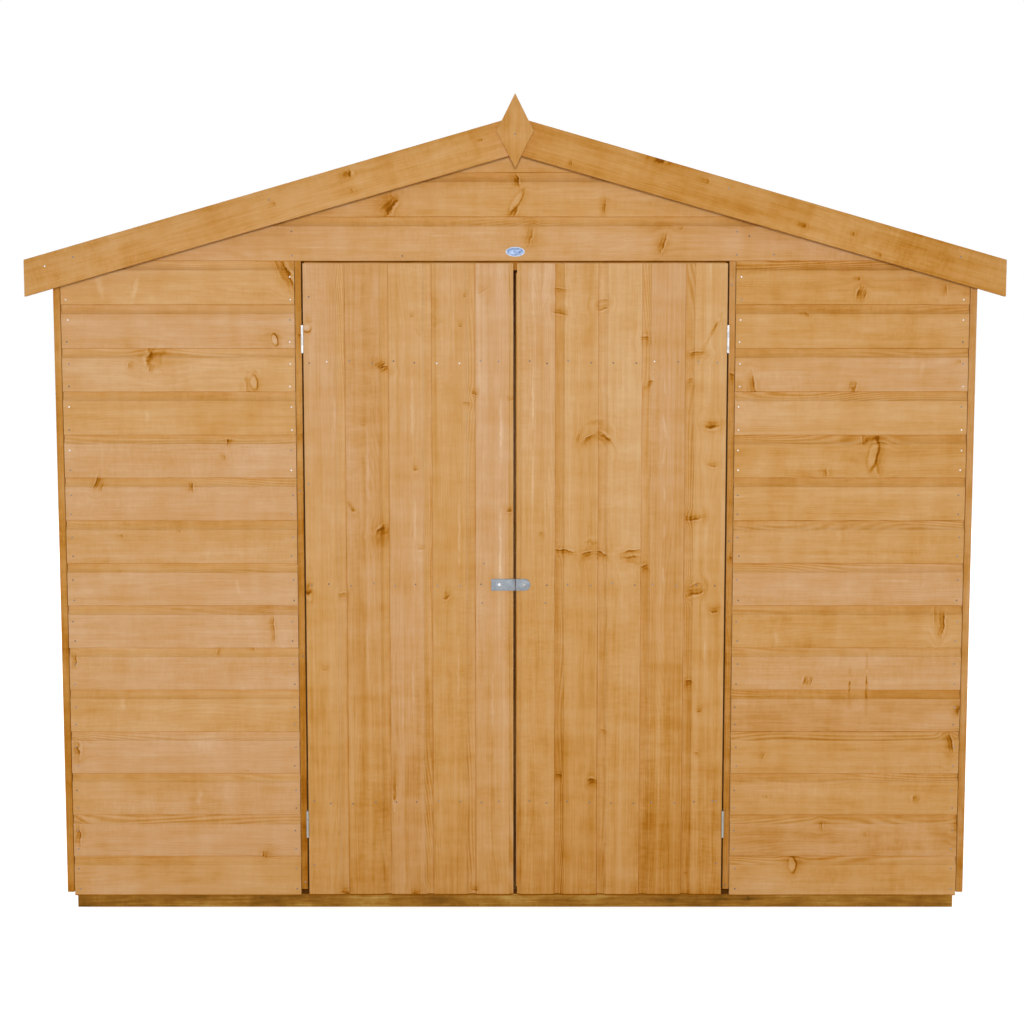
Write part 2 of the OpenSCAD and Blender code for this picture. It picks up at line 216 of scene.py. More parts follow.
def knotMark():
    shape = knotShape
    inputs = {label: "Vector" for label in ("Place", "Spot", "Size", "Wobble")}
    tree, given, out = newGroup("knotMark", inputs, knotParts)
    along, across, _ = split(tree, given["Place"])
    spotAlong, spotAcross, tilt = split(tree, given["Spot"])
    halfLong, halfWide, strength = split(tree, given["Size"])
    shiftLong, shiftWide, _ = split(tree, given["Wobble"])
    offset = calc(tree, "SUBTRACT", across, spotAcross)
    turn = put(tree, "VectorRotate", rotation_type="Z_AXIS")
    feed(tree, turn.inputs["Vector"], joined(tree, calc(tree, "SUBTRACT", along, spotAlong), offset))
    feed(tree, turn.inputs["Angle"], times(tree, tilt, -1.0))
    turned = split(tree, turn.outputs[0])
    evenLong = calc(tree, "DIVIDE", turned[0], halfLong)
    evenWide = calc(tree, "DIVIDE", turned[1], halfWide)
    wide = plus(tree, evenWide, shiftWide, shape["wobbleWide"])
    long = plus(tree, evenLong, shiftLong, shape["wobbleLong"])
    eyeSide = remap(tree, long, -0.8, 0.8, 0.25, 1.0)               # an eye is darker on one side
    long = plus(tree, long, times(tree, wide, wide), shape["wing"])
    reach = vectorCalc(tree, "LENGTH", joined(tree, times(tree, long, shape["squash"]), wide))["Value"]
    eyeLong = plus(tree, evenLong, shiftLong, shape["eyeWobbleLong"])
    eyeWide = plus(tree, evenWide, shiftWide, shape["eyeWobbleWide"])
    eyeReach = vectorCalc(tree, "LENGTH", joined(tree, eyeLong, eyeWide))["Value"]
    eye = calc(tree, "MAXIMUM", calc(tree, "SUBTRACT", strength, 1.0), 0.0)
    dark = times(tree, calc(tree, "MAXIMUM", strength, 0.0), calc(tree, "LESS_THAN", strength, 1.01))
    pale = calc(tree, "MAXIMUM", times(tree, strength, -1.0), 0.0)
    ends = times(tree, remap(tree, calc(tree, "ABSOLUTE", wide), 1.0, 0.15), dark)
    body = times(tree, remap(tree, long, 0.8, 0.5), remap(tree, long, -1.5, 0.6))
    feed(tree, out["Fill"], times(tree, body, ends))
    wave = calc(tree, "SINE", plus(tree, shape["ripplePhase"], long, shape["ripples"]))
    feed(tree, out["Ripple"], times(tree, wave, times(tree, remap(tree, reach, 1.5, 0.2), dark)))
    edge = remap(tree, gapFrom(tree, long, shape["edgeAt"]), 0.0, shape["edgeWidth"], 1.0, 0.0)
    rim = remap(tree, gapFrom(tree, eyeReach, shape["rimAt"]), 0.0, shape["rimWidth"], shape["rimDark"], 0.0)
    rim = times(tree, times(tree, rim, eyeSide), eye)
    feed(tree, out["Edge"], plus(tree, rim, edge, ends))
    glow = calc(tree, "MAXIMUM", dark, times(tree, times(tree, eye, eyeSide), shape["eyeGlow"]))
    feed(tree, out["Halo"], times(tree, remap(tree, reach, 1.9, 0.2), glow))
    streak = times(tree, remap(tree, reach, 0.85, 0.1), pale)
    core = times(tree, remap(tree, eyeReach, 0.8, 0.4), eye)
    crest = remap(tree, gapFrom(tree, long, shape["crestAt"]), 0.0, shape["crestWidth"], 1.0, 0.0)
    lightParts = calc(tree, "ADD", streak, core)
    feed(tree, out["Pale"], plus(tree, lightParts, times(tree, crest, ends), shape["crestPale"]))
    pull = times(tree, remap(tree, reach, 2.6, 0.3, 0.0, shape["pull"]), calc(tree, "MAXIMUM", dark, eye))
    feed(tree, out["Bend"], times(tree, offset, pull))


def metalSpots():
    tree, given, out = newGroup("metalSpots", {"Place": "Vector", "Scale": "Float"}, ("Spangle", "Dull"))
    cells = put(tree, "TexVoronoi")
    feed(tree, cells.inputs["Vector"], given["Place"])
    feed(tree, cells.inputs["Scale"], given["Scale"])
    feed(tree, out["Spangle"], split(tree, cells.outputs["Color"])[0])
    feed(tree, out["Dull"], noiseAt(tree, given["Place"], times(tree, given["Scale"], 0.4), 3)[0])


grainFigure()
knotMark()
metalSpots()
print("shader groups made")


# Timber finishes: one depth of stain and painted shade, gathered from every mark, picks the colour

# darkest reaches past the stain's own range, for painted shade in the door gaps, under the laps and at the foot
palest, darkest = -0.18, 1.4
stainAndShadeTones = ((palest, tint(230, 199, 160)), (0.0, tint(217, 178, 136)), (0.3, tint(207, 160, 110)),
              (0.5, tint(201, 149, 89)), (0.7, tint(189, 131, 60)), (0.85, tint(175, 112, 30)),
              (1.0, tint(150, 86, 2)), (darkest, tint(84, 46, 2)))


def paintedGapShade(tree, gaps):                                # painted shade on the timber seen through the gaps round the doors
    half = gaps["half"]
    x, y, z = split(tree, objectPlace(tree))
    x = calc(tree, "ABSOLUTE", x)
    side = remap(tree, gapFrom(tree, x, gaps["side"]), half, half * 0.6)
    head = remap(tree, gapFrom(tree, z, gaps["head"]), half * 0.7, 0.0, 0.0, 0.7)
    low = calc(tree, "LESS_THAN", z, gaps["foot"])
    middle = times(tree, remap(tree, x, half * 1.6, half), plus(tree, 0.3, low, 0.7))
    foot = times(tree, low, calc(tree, "GREATER_THAN", x, gaps["side"]))
    gapShadow = calc(tree, "MAXIMUM", calc(tree, "MAXIMUM", side, head), calc(tree, "MAXIMUM", middle, foot))
    return times(tree, gapShadow, calc(tree, "LESS_THAN", y, gaps["front"]))


def knotMarks(tree, place):
    centred = vectorCalc(tree, "SUBTRACT", noiseAt(tree, place, 48.0, 3)["Color"], (0.5, 0.5, 0.5))[0]
    marks = {}
    for slot in knotSlots:
        knot = useGroup(tree, "knotMark", Place=place, Spot=attribute(tree, "spot" + slot),
                        Size=attribute(tree, "size" + slot), Wobble=centred)
        for label in knotParts:
            join = "ADD" if label in ("Bend", "Ripple") else "MAXIMUM"
            marks[label] = calc(tree, join, marks[label], knot[label]) if label in marks else knot[label]
    return marks


def toneRamp(tree, depth, tones):
    ramp = put(tree, "ValToRGB")
    stops = ramp.color_ramp.elements
    for _ in range(len(tones) - 2):
        stops.new(0.5)
    for stop, (position, colour) in zip(stops, tones):
        stop.position = (position - palest) / (darkest - palest)
        stop.color = colour
    feed(tree, ramp.inputs[0], remap(tree, depth, palest, darkest, kind="LINEAR"))
    return ramp.outputs[0]


def woodMaterial(name, look):
    material, tree, skin = newMaterial(name)
    place = attribute(tree, "grain")
    marks = knotMarks(tree, place)
    grain = useGroup(tree, "grainFigure", Place=place, Bend=marks["Bend"])
    tone, part, coveTone = split(tree, attribute(tree, "board"))
    inCove = calc(tree, "MINIMUM", part, 1.0)
    onLip = calc(tree, "GREATER_THAN", part, 1.5)
    height = split(tree, objectPlace(tree))[2]
    low = remap(tree, height, look["lowFrom"], 0.0, kind="LINEAR")
    depth = calc(tree, "ADD", tone, look["base"])
    amounts = {label: look[label.lower()] for label in figureParts}
    amounts["Lines"] = plus(tree, look["lines"], inCove, look["coveLines"] - look["lines"])
    for label, amount in amounts.items():
        depth = plus(tree, depth, calc(tree, "SUBTRACT", grain[label], 0.5), amount)
    depth = plus(tree, depth, inCove, plus(tree, look["cove"], coveTone, look["coveVaries"]))
    # painted shade: a dark line along each lap under the lip, which also darkens the board ends
    depth = plus(tree, depth, onLip, look["lip"])
    # painted shade: deeper lower down, where the light falls off towards the ground
    depth = plus(tree, depth, low, look["low"])
    # painted shadow: a dark line along the foot of the boards, where they meet the bearer
    foot = remap(tree, height, look["footLine"], look["footLine"] - look["footBlur"])
    depth = plus(tree, depth, foot, look["footShade"])
    for label, amount in look["marks"].items():
        depth = plus(tree, depth, marks[label], amount)
    depth = calc(tree, "MINIMUM", depth, look["deepest"])
    # painted shade in the door gaps, on the rail and floor finishes only
    if "gaps" in look:
        depth = calc(tree, "ADD", depth, paintedGapShade(tree, look["gaps"]))
    patch = noiseAt(tree, place, look["huePatch"], 0)[0]
    golden = plus(tree, patch, tone, look["goldByTone"])
    # the painted shade lower down also warms the hue
    golden = plus(tree, golden, low, look["low"])
    golden = plus(tree, golden, inCove, look["goldInCove"])
    hue = blend(tree, remap(tree, golden, *look["hueRange"]), look["rosy"], look["golden"])
    colour = toneRamp(tree, depth, look["tones"])
    feed(tree, skin["Base Color"], blend(tree, 1.0, colour, hue, "MULTIPLY"))
    smooth, coarse = look["rough"]
    feed(tree, skin["Roughness"], remap(tree, grain["Fibre"], 0.3, 0.7, smooth, coarse))
    skin["Specular IOR Level"].default_value = look["specular"]
    feed(tree, skin["Normal"], bump(tree, grain["Fibre"], look["relief"], look["fibreDepth"]))
    return material


boardLook = {
    "tones": stainAndShadeTones, "base": 0.38,
    "band": 0.45, "streak": 0.1, "lines": 0.08, "fibre": 0.26, "blotch": 0.7, "saw": 0.22, "chatter": 0.3,
    "marks": {"Fill": 0.36, "Edge": 0.24, "Ripple": 0.08, "Halo": 0.18, "Pale": -0.42},
    # lip is the painted shade line under each lap
    "cove": 0.095, "coveVaries": 0.06, "coveLines": 0.3, "lip": 0.18,
    "low": 0.08, "lowFrom": 0.8,                        # deeper towards the ground: painted shade where the light falls off lower down
    # footLine, footBlur and footShade paint the shadow line at the foot of the boards
    "footLine": 44 * mm, "footBlur": 4 * mm, "footShade": 0.8, "deepest": 1.12,
    "goldByTone": 1.5, "goldInCove": 0.3, "huePatch": 0.6, "hueRange": (0.36, 0.68),
    "rosy": (0.995, 1.01, 1.08, 1), "golden": (1.0, 1.0, 0.9, 1),
    "rough": (0.59, 0.71), "specular": 0.05, "relief": 0.25, "fibreDepth": 0.6 * mm,
}
leftDoorLook = dict(boardLook, base=0.35, streak=0.52, blotch=0.6, chatter=0.34, cove=0.03, coveVaries=0.1,
                    low=0.2, lowFrom=1.35, footLine=47 * mm)
rightDoorLook = dict(leftDoorLook, base=0.3, low=0.35)
bargeLook = dict(boardLook, base=0.46, low=0.0)
stileLook = dict(boardLook, base=0.64, low=0.0, footLine=0.0)
stripLook = dict(boardLook, base=0.66, low=0.18, lowFrom=1.5)
frameLook = dict(boardLook, base=0.44, low=0.0, footLine=0.0)
# where the door gaps lie; the rails and floor planks seen through them get painted shade there
doorGaps = {
    "side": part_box("right_door_boards")[1].x + 2.5 * mm, "half": 6 * mm,
    "head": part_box("front_gable_cladding")[0].z - 1 * mm, "foot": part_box("jamb_strips")[0].z,
    "front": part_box("front_rails")[0].y + 3 * mm,
}
railLook = dict(frameLook, gaps=doorGaps)
floorLook = dict(railLook, base=0.7)
bearerTones = ((palest, tint(206, 166, 88)), (0.25, tint(172, 122, 44)), (0.5, tint(150, 100, 30)),
               (0.75, tint(124, 82, 20)), (1.0, tint(84, 54, 10)), (darkest, tint(50, 32, 8)))
bearerLook = dict(boardLook, tones=bearerTones, base=0.45, band=0.8, blotch=1.9, fibre=0.6, low=0.0,
                  footLine=0.0)
boardWood = woodMaterial("boardWood", boardLook)
doorWood = {"left": woodMaterial("leftDoorWood", leftDoorLook)}
doorWood["right"] = woodMaterial("rightDoorWood", rightDoorLook)
stileWood = woodMaterial("stileWood", stileLook)
bargeWood = woodMaterial("bargeWood", bargeLook)
stripWood = woodMaterial("stripWood", stripLook)
frameWood = woodMaterial("frameWood", frameLook)
railWood = woodMaterial("railWood", railLook)
floorWood = woodMaterial("floorWood", floorLook)
bearerWood = woodMaterial("bearerWood", bearerLook)
print("timber finishes made")


# Metal and felt finishes

def zincMaterial(name, look):
    material, tree, skin = newMaterial(name)
    place = objectPlace(tree)
    spots = useGroup(tree, "metalSpots", Place=place, Scale=look["spangle"])
    colour = blend(tree, spots["Spangle"], look["dark"], look["light"])
    colour = blend(tree, remap(tree, spots["Dull"], 0.45, 0.7), colour, look["dull"])
    low = remap(tree, split(tree, place)[2], *look["lowBetween"])
    feed(tree, skin["Base Color"], blend(tree, low, colour, look["low"]))
    smooth, coarse = look["rough"]
    feed(tree, skin["Roughness"], remap(tree, spots["Dull"], 0.3, 0.7, smooth, coarse))
    skin["Metallic"].default_value = look["metal"]
    feed(tree, skin["Normal"], bump(tree, spots["Dull"], look["relief"], 0.3 * mm))
    return material


zincLook = {
    "spangle": 260.0, "dark": tint(126, 132, 139), "light": tint(156, 163, 170), "dull": tint(134, 140, 147),
    "low": tint(134, 140, 147), "lowBetween": (1.2, 0.5), "rough": (0.54, 0.74), "metal": 0.3, "relief": 0.15,
}
brightLook = dict(zincLook, spangle=180.0, dark=tint(204, 206, 206), light=tint(226, 228, 228),
                  dull=tint(196, 198, 196), low=tint(158, 158, 152), rough=(0.42, 0.62), metal=0.4)
# the plate's light and dark mottling is painted highlight and shade, standing in for its embossed lettering
plateLook = dict(zincLook, spangle=190.0, dark=tint(78, 102, 150), light=tint(160, 180, 214),
                 dull=tint(120, 146, 184), low=tint(120, 146, 184), rough=(0.47, 0.67), metal=0.15)
rimLook = dict(plateLook, dark=tint(168, 184, 206), light=tint(196, 208, 226),
               dull=tint(180, 194, 214), low=tint(180, 194, 214))
zinc = zincMaterial("galvanised", zincLook)
brightZinc = zincMaterial("brightZinc", brightLook)
plateMetal = zincMaterial("platedOval", plateLook)
rimMetal = zincMaterial("platedRim", rimLook)
# bright is the near white of a painted glint; rusty and worn are the heads' own colours
nailLook = {"spangle": 300.0, "rusty": tint(96, 80, 66), "worn": tint(138, 124, 112),
            "bright": tint(226, 226, 226), "rough": (0.6, 0.35), "metal": (0.3, 0.6)}


def nailMaterial(look):
    material, tree, skin = newMaterial("nailHead")
    paintedGlint = split(tree, attribute(tree, "paintedGlint"))[0]
    spots = useGroup(tree, "metalSpots", Place=objectPlace(tree), Scale=look["spangle"])
    worn = blend(tree, spots["Dull"], look["rusty"], look["worn"])
    feed(tree, skin["Base Color"], blend(tree, paintedGlint, worn, look["bright"]))
    feed(tree, skin["Roughness"], remap(tree, paintedGlint, 0.0, 1.0, *look["rough"]))
    feed(tree, skin["Metallic"], remap(tree, paintedGlint, 0.0, 1.0, *look["metal"]))
    return material


feltLook = {"grit": 420.0, "dark": tint(58, 62, 60), "light": tint(112, 116, 112), "faded": tint(78, 80, 78),
            "patch": 2.2, "rough": 0.92, "relief": 0.5, "gritDepth": 0.8 * mm}


def feltMaterial(look):
    material, tree, skin = newMaterial("mineralFelt")
    place = objectPlace(tree)
    grit = put(tree, "TexVoronoi")
    feed(tree, grit.inputs["Vector"], place)
    feed(tree, grit.inputs["Scale"], look["grit"])
    colour = blend(tree, split(tree, grit.outputs["Color"])[1], look["dark"], look["light"])
    patch = noiseAt(tree, place, look["patch"], 4, 0.6)[0]
    colour = blend(tree, remap(tree, patch, 0.35, 0.7, 0.0, 0.5), colour, look["faded"])
    feed(tree, skin["Base Color"], colour)
    skin["Roughness"].default_value = look["rough"]
    feed(tree, skin["Normal"], bump(tree, grit.outputs["Distance"], look["relief"], look["gritDepth"]))
    return material


nailHead = nailMaterial(nailLook)
mineralFelt = feltMaterial(feltLook)
print("metal and felt finishes made")


# Meshes with the layers that the timber finishes read

def newTimber():
    bm = bmesh.new()
    bm.verts.layers.float_vector.new("grain")
    bm.faces.layers.float_vector.new("board")
    for slot in knotSlots:
        bm.faces.layers.float_vector.new("spot" + slot)
        bm.faces.layers.float_vector.new("size" + slot)
    return bm


def everything(bm):
    return bm.verts[:] + bm.edges[:] + bm.faces[:]


def only(geom, kind):
    return [item for item in geom if isinstance(item, kind)]


def facesOf(verts):
    return list(dict.fromkeys(face for vert in verts for face in vert.link_faces))


def cutAway(bm, point, normal):
    cut = bmesh.ops.bisect_plane(bm, geom=everything(bm), plane_co=point, plane_no=normal, clear_outer=True)
    rim = only(cut["geom_cut"], bmesh.types.BMEdge)
    if rim:
        bmesh.ops.contextual_create(bm, geom=rim)


def easeEdges(bm, edges, offset, segments=2):
    bmesh.ops.bevel(bm, geom=edges, offset=offset, affect="EDGES", segments=segments, profile=0.5,
                    material=-1)


def addTo(whole, part):
    holder = bpy.data.meshes.new("holder")
    part.to_mesh(holder)
    part.free()
    whole.from_mesh(holder)
    bpy.data.meshes.remove(holder)


def nodeCopy(node, merge):
    bm = bmesh.new()
    bm.from_mesh(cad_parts[node].data)
    bmesh.ops.remove_doubles(bm, verts=bm.verts[:], dist=merge)
    return bm


def flatCopy(node, merge):                              # the same with its flat faces in one piece
    bm = nodeCopy(node, merge)
    bmesh.ops.dissolve_limit(bm, angle_limit=math.radians(1), verts=bm.verts[:], edges=bm.edges[:])
    bm.normal_update()
    return bm


def finishPiece(bm, name, material, body, nodes=(), sharp=32):
    bmesh.ops.recalc_face_normals(bm, faces=bm.faces[:])
    mesh = bpy.data.meshes.new(name)
    bm.to_mesh(mesh)
    bm.free()
    mesh.shade_smooth()
    mesh.set_sharp_from_angle(angle=math.radians(sharp))
    mesh.materials.append(material)
    piece = bpy.data.objects.new(name, mesh)
    scene.collection.objects.link(piece)
    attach(piece, body)
    if nodes:
        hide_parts(*nodes)
    return piece


# Knots on a board: places and half sizes in metres, with x along the grain and y across it

knotOn = namedtuple("knotOn", "x y tilt halfLong halfWide strength")
looseKnots = {"size": (0.004, 0.011), "long": (0.7, 1.3), "wide": (0.8, 1.7), "tilt": 0.7, "inset": 0.02}
toneSpread = 0.075                                      # how far one board differs from the next


def markOn(toWorld, mark, faceY):
    x, z, long, wide, tilt, strength = mark
    spot = toWorld.inverted() @ Vector((x * mm, faceY, z * mm))
    return knotOn(spot.x, spot.y, math.radians(tilt), long * mm / 2, wide * mm / 2, strength)


def looseMarks(rng, length, width, perMetre, strength=(0.25, 0.8)):
    spec = looseKnots
    marks = []
    for _ in range(int(length * perMetre + rng.random())):
        size = rng.uniform(*spec["size"])
        x = rng.uniform(spec["inset"], length - spec["inset"])
        y = rng.uniform(0.12, 0.88) * width
        tilt = rng.uniform(-spec["tilt"], spec["tilt"])
        halfLong, halfWide = size * rng.uniform(*spec["long"]), size * rng.uniform(*spec["wide"])
        marks.append(knotOn(x, y, tilt, halfLong, halfWide, rng.uniform(*strength)))
    return marks


def onBoard(marks, length, width):
    return [m for m in marks if -0.03 < m.x < length + 0.03 and -0.012 < m.y < width + 0.012]


def knotSpread(mark):
    return max(mark.halfLong, mark.halfWide)


# The board layer holds the tone, then 1 in a cove or 2 on a lip or an end, then the cove's own tone

def dressTimber(bm, toWorld, rng, marks, shade=0.0, coveFrom=None, coveTop=None):
    faceLayers = bm.faces.layers.float_vector
    grain, board = bm.verts.layers.float_vector["grain"], faceLayers["board"]
    spots = [(faceLayers["spot" + slot], faceLayers["size" + slot]) for slot in knotSlots]
    toLocal = toWorld.inverted()
    shift = Vector((rng.uniform(0, 40), rng.uniform(0, 20), rng.uniform(0, 5)))
    tone = shade + rng.uniform(-toneSpread, toneSpread)
    coveTone = rng.uniform(-1, 1)
    bm.normal_update()
    for vert in bm.verts:
        vert[grain] = toLocal @ vert.co + shift
    for face in bm.faces:
        corners = [toLocal @ vert.co for vert in face.verts]
        middle = sum(corners, Vector()) / len(corners)
        part = 0.0
        if coveFrom is not None and middle.y > coveFrom and coveTop * 0.3 < middle.z < coveTop:
            part = 1.0
        if coveFrom is not None and middle.y < shiplap["arris"]:
            part = 2.0
        if abs((toLocal.to_3x3() @ face.normal).x) > 0.9:
            part = 2.0
        face[board] = (tone, part, coveTone)
        start, end = min(c.x for c in corners), max(c.x for c in corners)
        near = [m for m in marks if m.x + 4 * knotSpread(m) > start and m.x - 4 * knotSpread(m) < end]
        near.sort(key=lambda m: -abs(m.strength) * knotSpread(m))
        for (spot, size), m in zip(spots, near):
            face[spot] = (m.x + shift.x, m.y + shift.y, m.tilt)
            face[size] = (m.halfLong, m.halfWide, m.strength)


# Shiplap boards: x runs with the grain, y from the lower lip to the tongue, z out of the wall

shiplap = {
    "cover": 112.7 * mm, "thick": 12 * mm, "tongue": 8.5 * mm, "lip": 5.6 * mm,
    "coveDepth": 6 * mm, "coveRise": 18 * mm, "coveFlat": 6 * mm, "coveSteps": 5,
    "arris": 1.6 * mm, "stretch": 0.2, "waver": 0.5 * mm, "wavesPerMetre": 2.2,
}
plainFace = shiplap["cover"] - shiplap["coveRise"] - shiplap["coveFlat"]


def shiplapBoard(length, flat):
    spec = shiplap
    bm = newTimber()
    front = spec["thick"]
    top = flat + spec["coveRise"] + spec["coveFlat"] + spec["tongue"]
    radius = (spec["coveDepth"] ** 2 + spec["coveRise"] ** 2) / (2 * spec["coveDepth"])
    centre = (0, flat + spec["coveRise"], front - spec["coveDepth"] + radius)
    sweep = math.asin(spec["coveRise"] / radius)
    lead = [bm.verts.new((0, y, z)) for y, z in ((0, front - spec["lip"]), (0, front), (flat, front))]
    curve = bmesh.ops.spin(bm, geom=[lead[-1]], cent=centre, axis=(1, 0, 0), angle=sweep,
                           steps=spec["coveSteps"])
    last = only(curve["geom_last"], bmesh.types.BMVert)[0]
    rebate = spec["tongue"] + 1 * mm
    rest = [(top, front - spec["coveDepth"]), (top, 0), (rebate, 0), (rebate, front - spec["lip"])]
    tail = [bm.verts.new((0, y, z)) for y, z in rest]
    for chain in (lead, [last] + tail + [lead[0]]):
        for one, two in zip(chain, chain[1:]):
            bm.edges.new((one, two))
    bmesh.ops.contextual_create(bm, geom=bm.edges[:])
    bmesh.ops.bevel(bm, geom=[lead[1]], offset=spec["arris"], affect="VERTICES", segments=3, profile=0.5,
                    material=-1)
    grown = bmesh.ops.extrude_face_region(bm, geom=bm.faces[:])
    bmesh.ops.translate(bm, verts=only(grown["geom"], bmesh.types.BMVert), vec=(length, 0, 0))
    stretchOut(bm, length, spec["stretch"])
    return bm


def stretchOut(bm, length, stretch):
    runs = [e for e in bm.edges if abs(e.verts[0].co.x - e.verts[1].co.x) > 0.9 * length]
    cuts = max(1, round(length / stretch)) - 1
    if cuts:
        bmesh.ops.subdivide_edges(bm, edges=runs, cuts=cuts, use_grid_fill=True)


def unsettle(bm, rng, amount):
    seed = rng.uniform(0, 90)
    for vert in bm.verts:
        along = vert.co.x * shiplap["wavesPerMetre"]
        vert.co.y += amount * waver((along, seed, 0.0))
        vert.co.z += amount * 0.6 * waver((along, seed, 9.0))


def layBoard(whole, toWorld, length, rng, marks, shade, cuts=(), flat=plainFace):
    board = shiplapBoard(length, flat)
    unsettle(board, rng, shiplap["waver"])
    board.transform(toWorld)
    for point, normal in cuts:
        cutAway(board, point, normal)
    dressTimber(board, toWorld, rng, marks, shade, flat, shiplap["thick"] - 0.1 * mm)
    addTo(whole, board)


def facing(origin, along, across):
    out = Vector(along).cross(Vector(across))
    return Matrix.Translation(origin) @ Matrix((along, across, out)).transposed().to_4x4()


# Walls: rows are counted from the lower edge of the gable boards

frontLeft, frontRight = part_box("front_left_cladding"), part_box("front_right_cladding")
sideLeft, sideRight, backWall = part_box("left_cladding"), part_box("right_cladding"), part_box("back_cladding")
gableLow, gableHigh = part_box("front_gable_cladding")
wallFace, backOfFront = frontLeft[0].y, frontLeft[1].y
wallFoot = frontLeft[0].z
lowRows, gableRows, allRows = range(-15, 0), range(0, 3), range(-15, 3)
roofPitch = math.radians(16)
roofSin, roofCos = math.sin(roofPitch), math.cos(roofPitch)
ridgePoint = (0, 0, gableHigh.z)
wallCuts = [((0, 0, wallFoot), (0, 0, -1))]
wallCuts += [(ridgePoint, (-roofSin, 0, roofCos)), (ridgePoint, (roofSin, 0, roofCos))]
walls = {"endGap": 1.6 * mm, "hiddenKnots": 1.6, "topFlat": 1.5}    # a gap leaves a dark line at the strips


def rowFoot(row):
    return gableLow.z + row * shiplap["cover"]


def boardWall(name, node, start, along, length, rows, seed, marks=(), loose=walls["hiddenKnots"], shade=0.0,
              wideRow=None):
    rng = random.Random(seed)
    whole = newTimber()
    for row in rows:
        toWorld = facing(Vector((start[0], start[1], rowFoot(row))), along, (0, 0, 1))
        own = onBoard([markOn(toWorld, m, wallFace) for m in marks], length, shiplap["cover"])
        own += looseMarks(rng, length, shiplap["cover"], loose)
        flat = shiplap["cover"] * walls["topFlat"] if row == wideRow else plainFace
        layBoard(whole, toWorld, length, rng, own, shade, wallCuts, flat)
    return finishPiece(whole, name, boardWood, "shed", [node])


# Knots on the front, in millimetres: x, z, length with the grain, width across it, tilt in degrees, strength
# A strength below 0 is a pale streak, and over 1 an eye with a dark rim

leftWallKnots = [
    (-594, 1690, 30, 110, 24, 1.0), (-614, 1712, 12, 70, 200, 0.5), (-935, 1474, 54, 76, 168, 0.8),
    (-948, 1447, 14, 26, 170, 0.6), (-890, 1440, 16, 16, 20, 0.6), (-1002, 1455, 14, 26, 150, 0.5),
    (-681, 1411, 24, 46, 6, 1.7), (-690, 1408, 34, 60, 190, 0.45), (-684, 1440, 40, 14, 0, 0.35),
    (-625, 1522, 18, 38, 12, 1.9), (-748, 1256, 16, 30, 175, 0.8), (-761, 1217, 12, 22, 0, 0.6),
    (-1095, 1152, 14, 48, 160, 0.8), (-1084, 1140, 10, 40, -20, 0.5), (-850, 1138, 16, 34, 12, 0.9),
    (-1035, 1010, 24, 10, 0, 0.4), (-882, 1022, 18, 10, 0, 0.4), (-640, 762, 12, 100, 2, 0.7),
    (-1166, 676, 16, 50, 0, 0.8), (-785, 700, 12, 26, 160, 0.6), (-697, 708, 18, 14, 0, 0.5),
    (-1164, 434, 20, 70, 0, 0.8), (-716, 380, 24, 10, 0, 0.4), (-666, 153, 22, 26, 190, 0.7),
    (-1167, 203, 18, 70, 0, 0.8), (-1075, 1660, 18, 120, 12, -0.45), (-985, 1655, 14, 130, -14, -0.55),
    (-960, 1320, 14, 60, 8, -0.3), (-840, 310, 14, 70, -12, -0.5), (-730, 880, 12, 60, 10, -0.4),
    (-1040, 560, 14, 60, 0, -0.4),
]
gableKnots = [
    (-325, 1866, 30, 62, -32, 1.0), (-312, 1874, 10, 58, 148, 0.6), (4, 1930, 18, 46, 14, 1.0),
    (1, 1876, 22, 84, -32, 1.5), (0, 1856, 16, 44, -30, 0.7), (229, 1864, 12, 48, 0, 0.7),
    (36, 1790, 20, 64, -15, 0.5), (380, 1772, 20, 64, -22, 0.7), (372, 1752, 12, 18, 10, 0.6),
    (-190, 1790, 90, 8, 0, -0.5), (-520, 1760, 70, 8, 0, -0.4),
]
rightWallKnots = [
    (893, 1645, 18, 46, 168, 0.9), (905, 1640, 14, 40, -10, 0.7), (885, 1680, 18, 16, 0, 0.5),
    (1114, 1652, 14, 34, 0, 0.6), (747, 1590, 26, 10, 0, 0.45), (616, 1412, 18, 70, 12, 0.8),
    (1152, 1465, 16, 14, 0, 0.6), (935, 1224, 30, 104, -12, 1.6), (952, 1196, 24, 60, 190, 0.4),
    (914, 1262, 16, 34, 184, 0.5), (811, 1178, 22, 36, 0, 0.5), (1110, 790, 10, 100, 184, 0.6),
    (1126, 778, 18, 90, -6, 1.0), (768, 625, 18, 38, 165, 0.8), (780, 622, 14, 34, -10, 0.7),
    (885, 607, 44, 7, 90, 0.8), (930, 606, 90, 7, 90, 0.7), (1173, 545, 14, 34, 0, 0.8),
    (1155, 456, 18, 70, 10, 0.95), (663, 310, 22, 12, 0, 0.4), (1068, 304, 26, 26, 170, 0.6),
    (816, 230, 14, 34, 0, 0.6), (740, 124, 26, 52, 4, 1.6), (1176, 238, 12, 76, 0, 0.7),
    (1060, 1445, 14, 70, -10, -0.3), (850, 1010, 14, 70, 8, -0.3), (1010, 890, 90, 8, 0, -0.4),
    (690, 740, 14, 60, 12, -0.4),
]
rightWay, leftWay, backWay, frontWay = (1, 0, 0), (-1, 0, 0), (0, 1, 0), (0, -1, 0)
frontRun = frontLeft[1].x - frontLeft[0].x - 2 * walls["endGap"]
sideRun = sideLeft[1].y - sideLeft[0].y
boardWall("front_left_boards", "front_left_cladding", (frontLeft[0].x + walls["endGap"], backOfFront),
          rightWay, frontRun, lowRows, 11, leftWallKnots, loose=0.35, shade=-0.045)
boardWall("front_right_boards", "front_right_cladding", (frontRight[0].x + walls["endGap"], backOfFront),
          rightWay, frontRun, lowRows, 12, rightWallKnots, loose=0.35, shade=0.04)
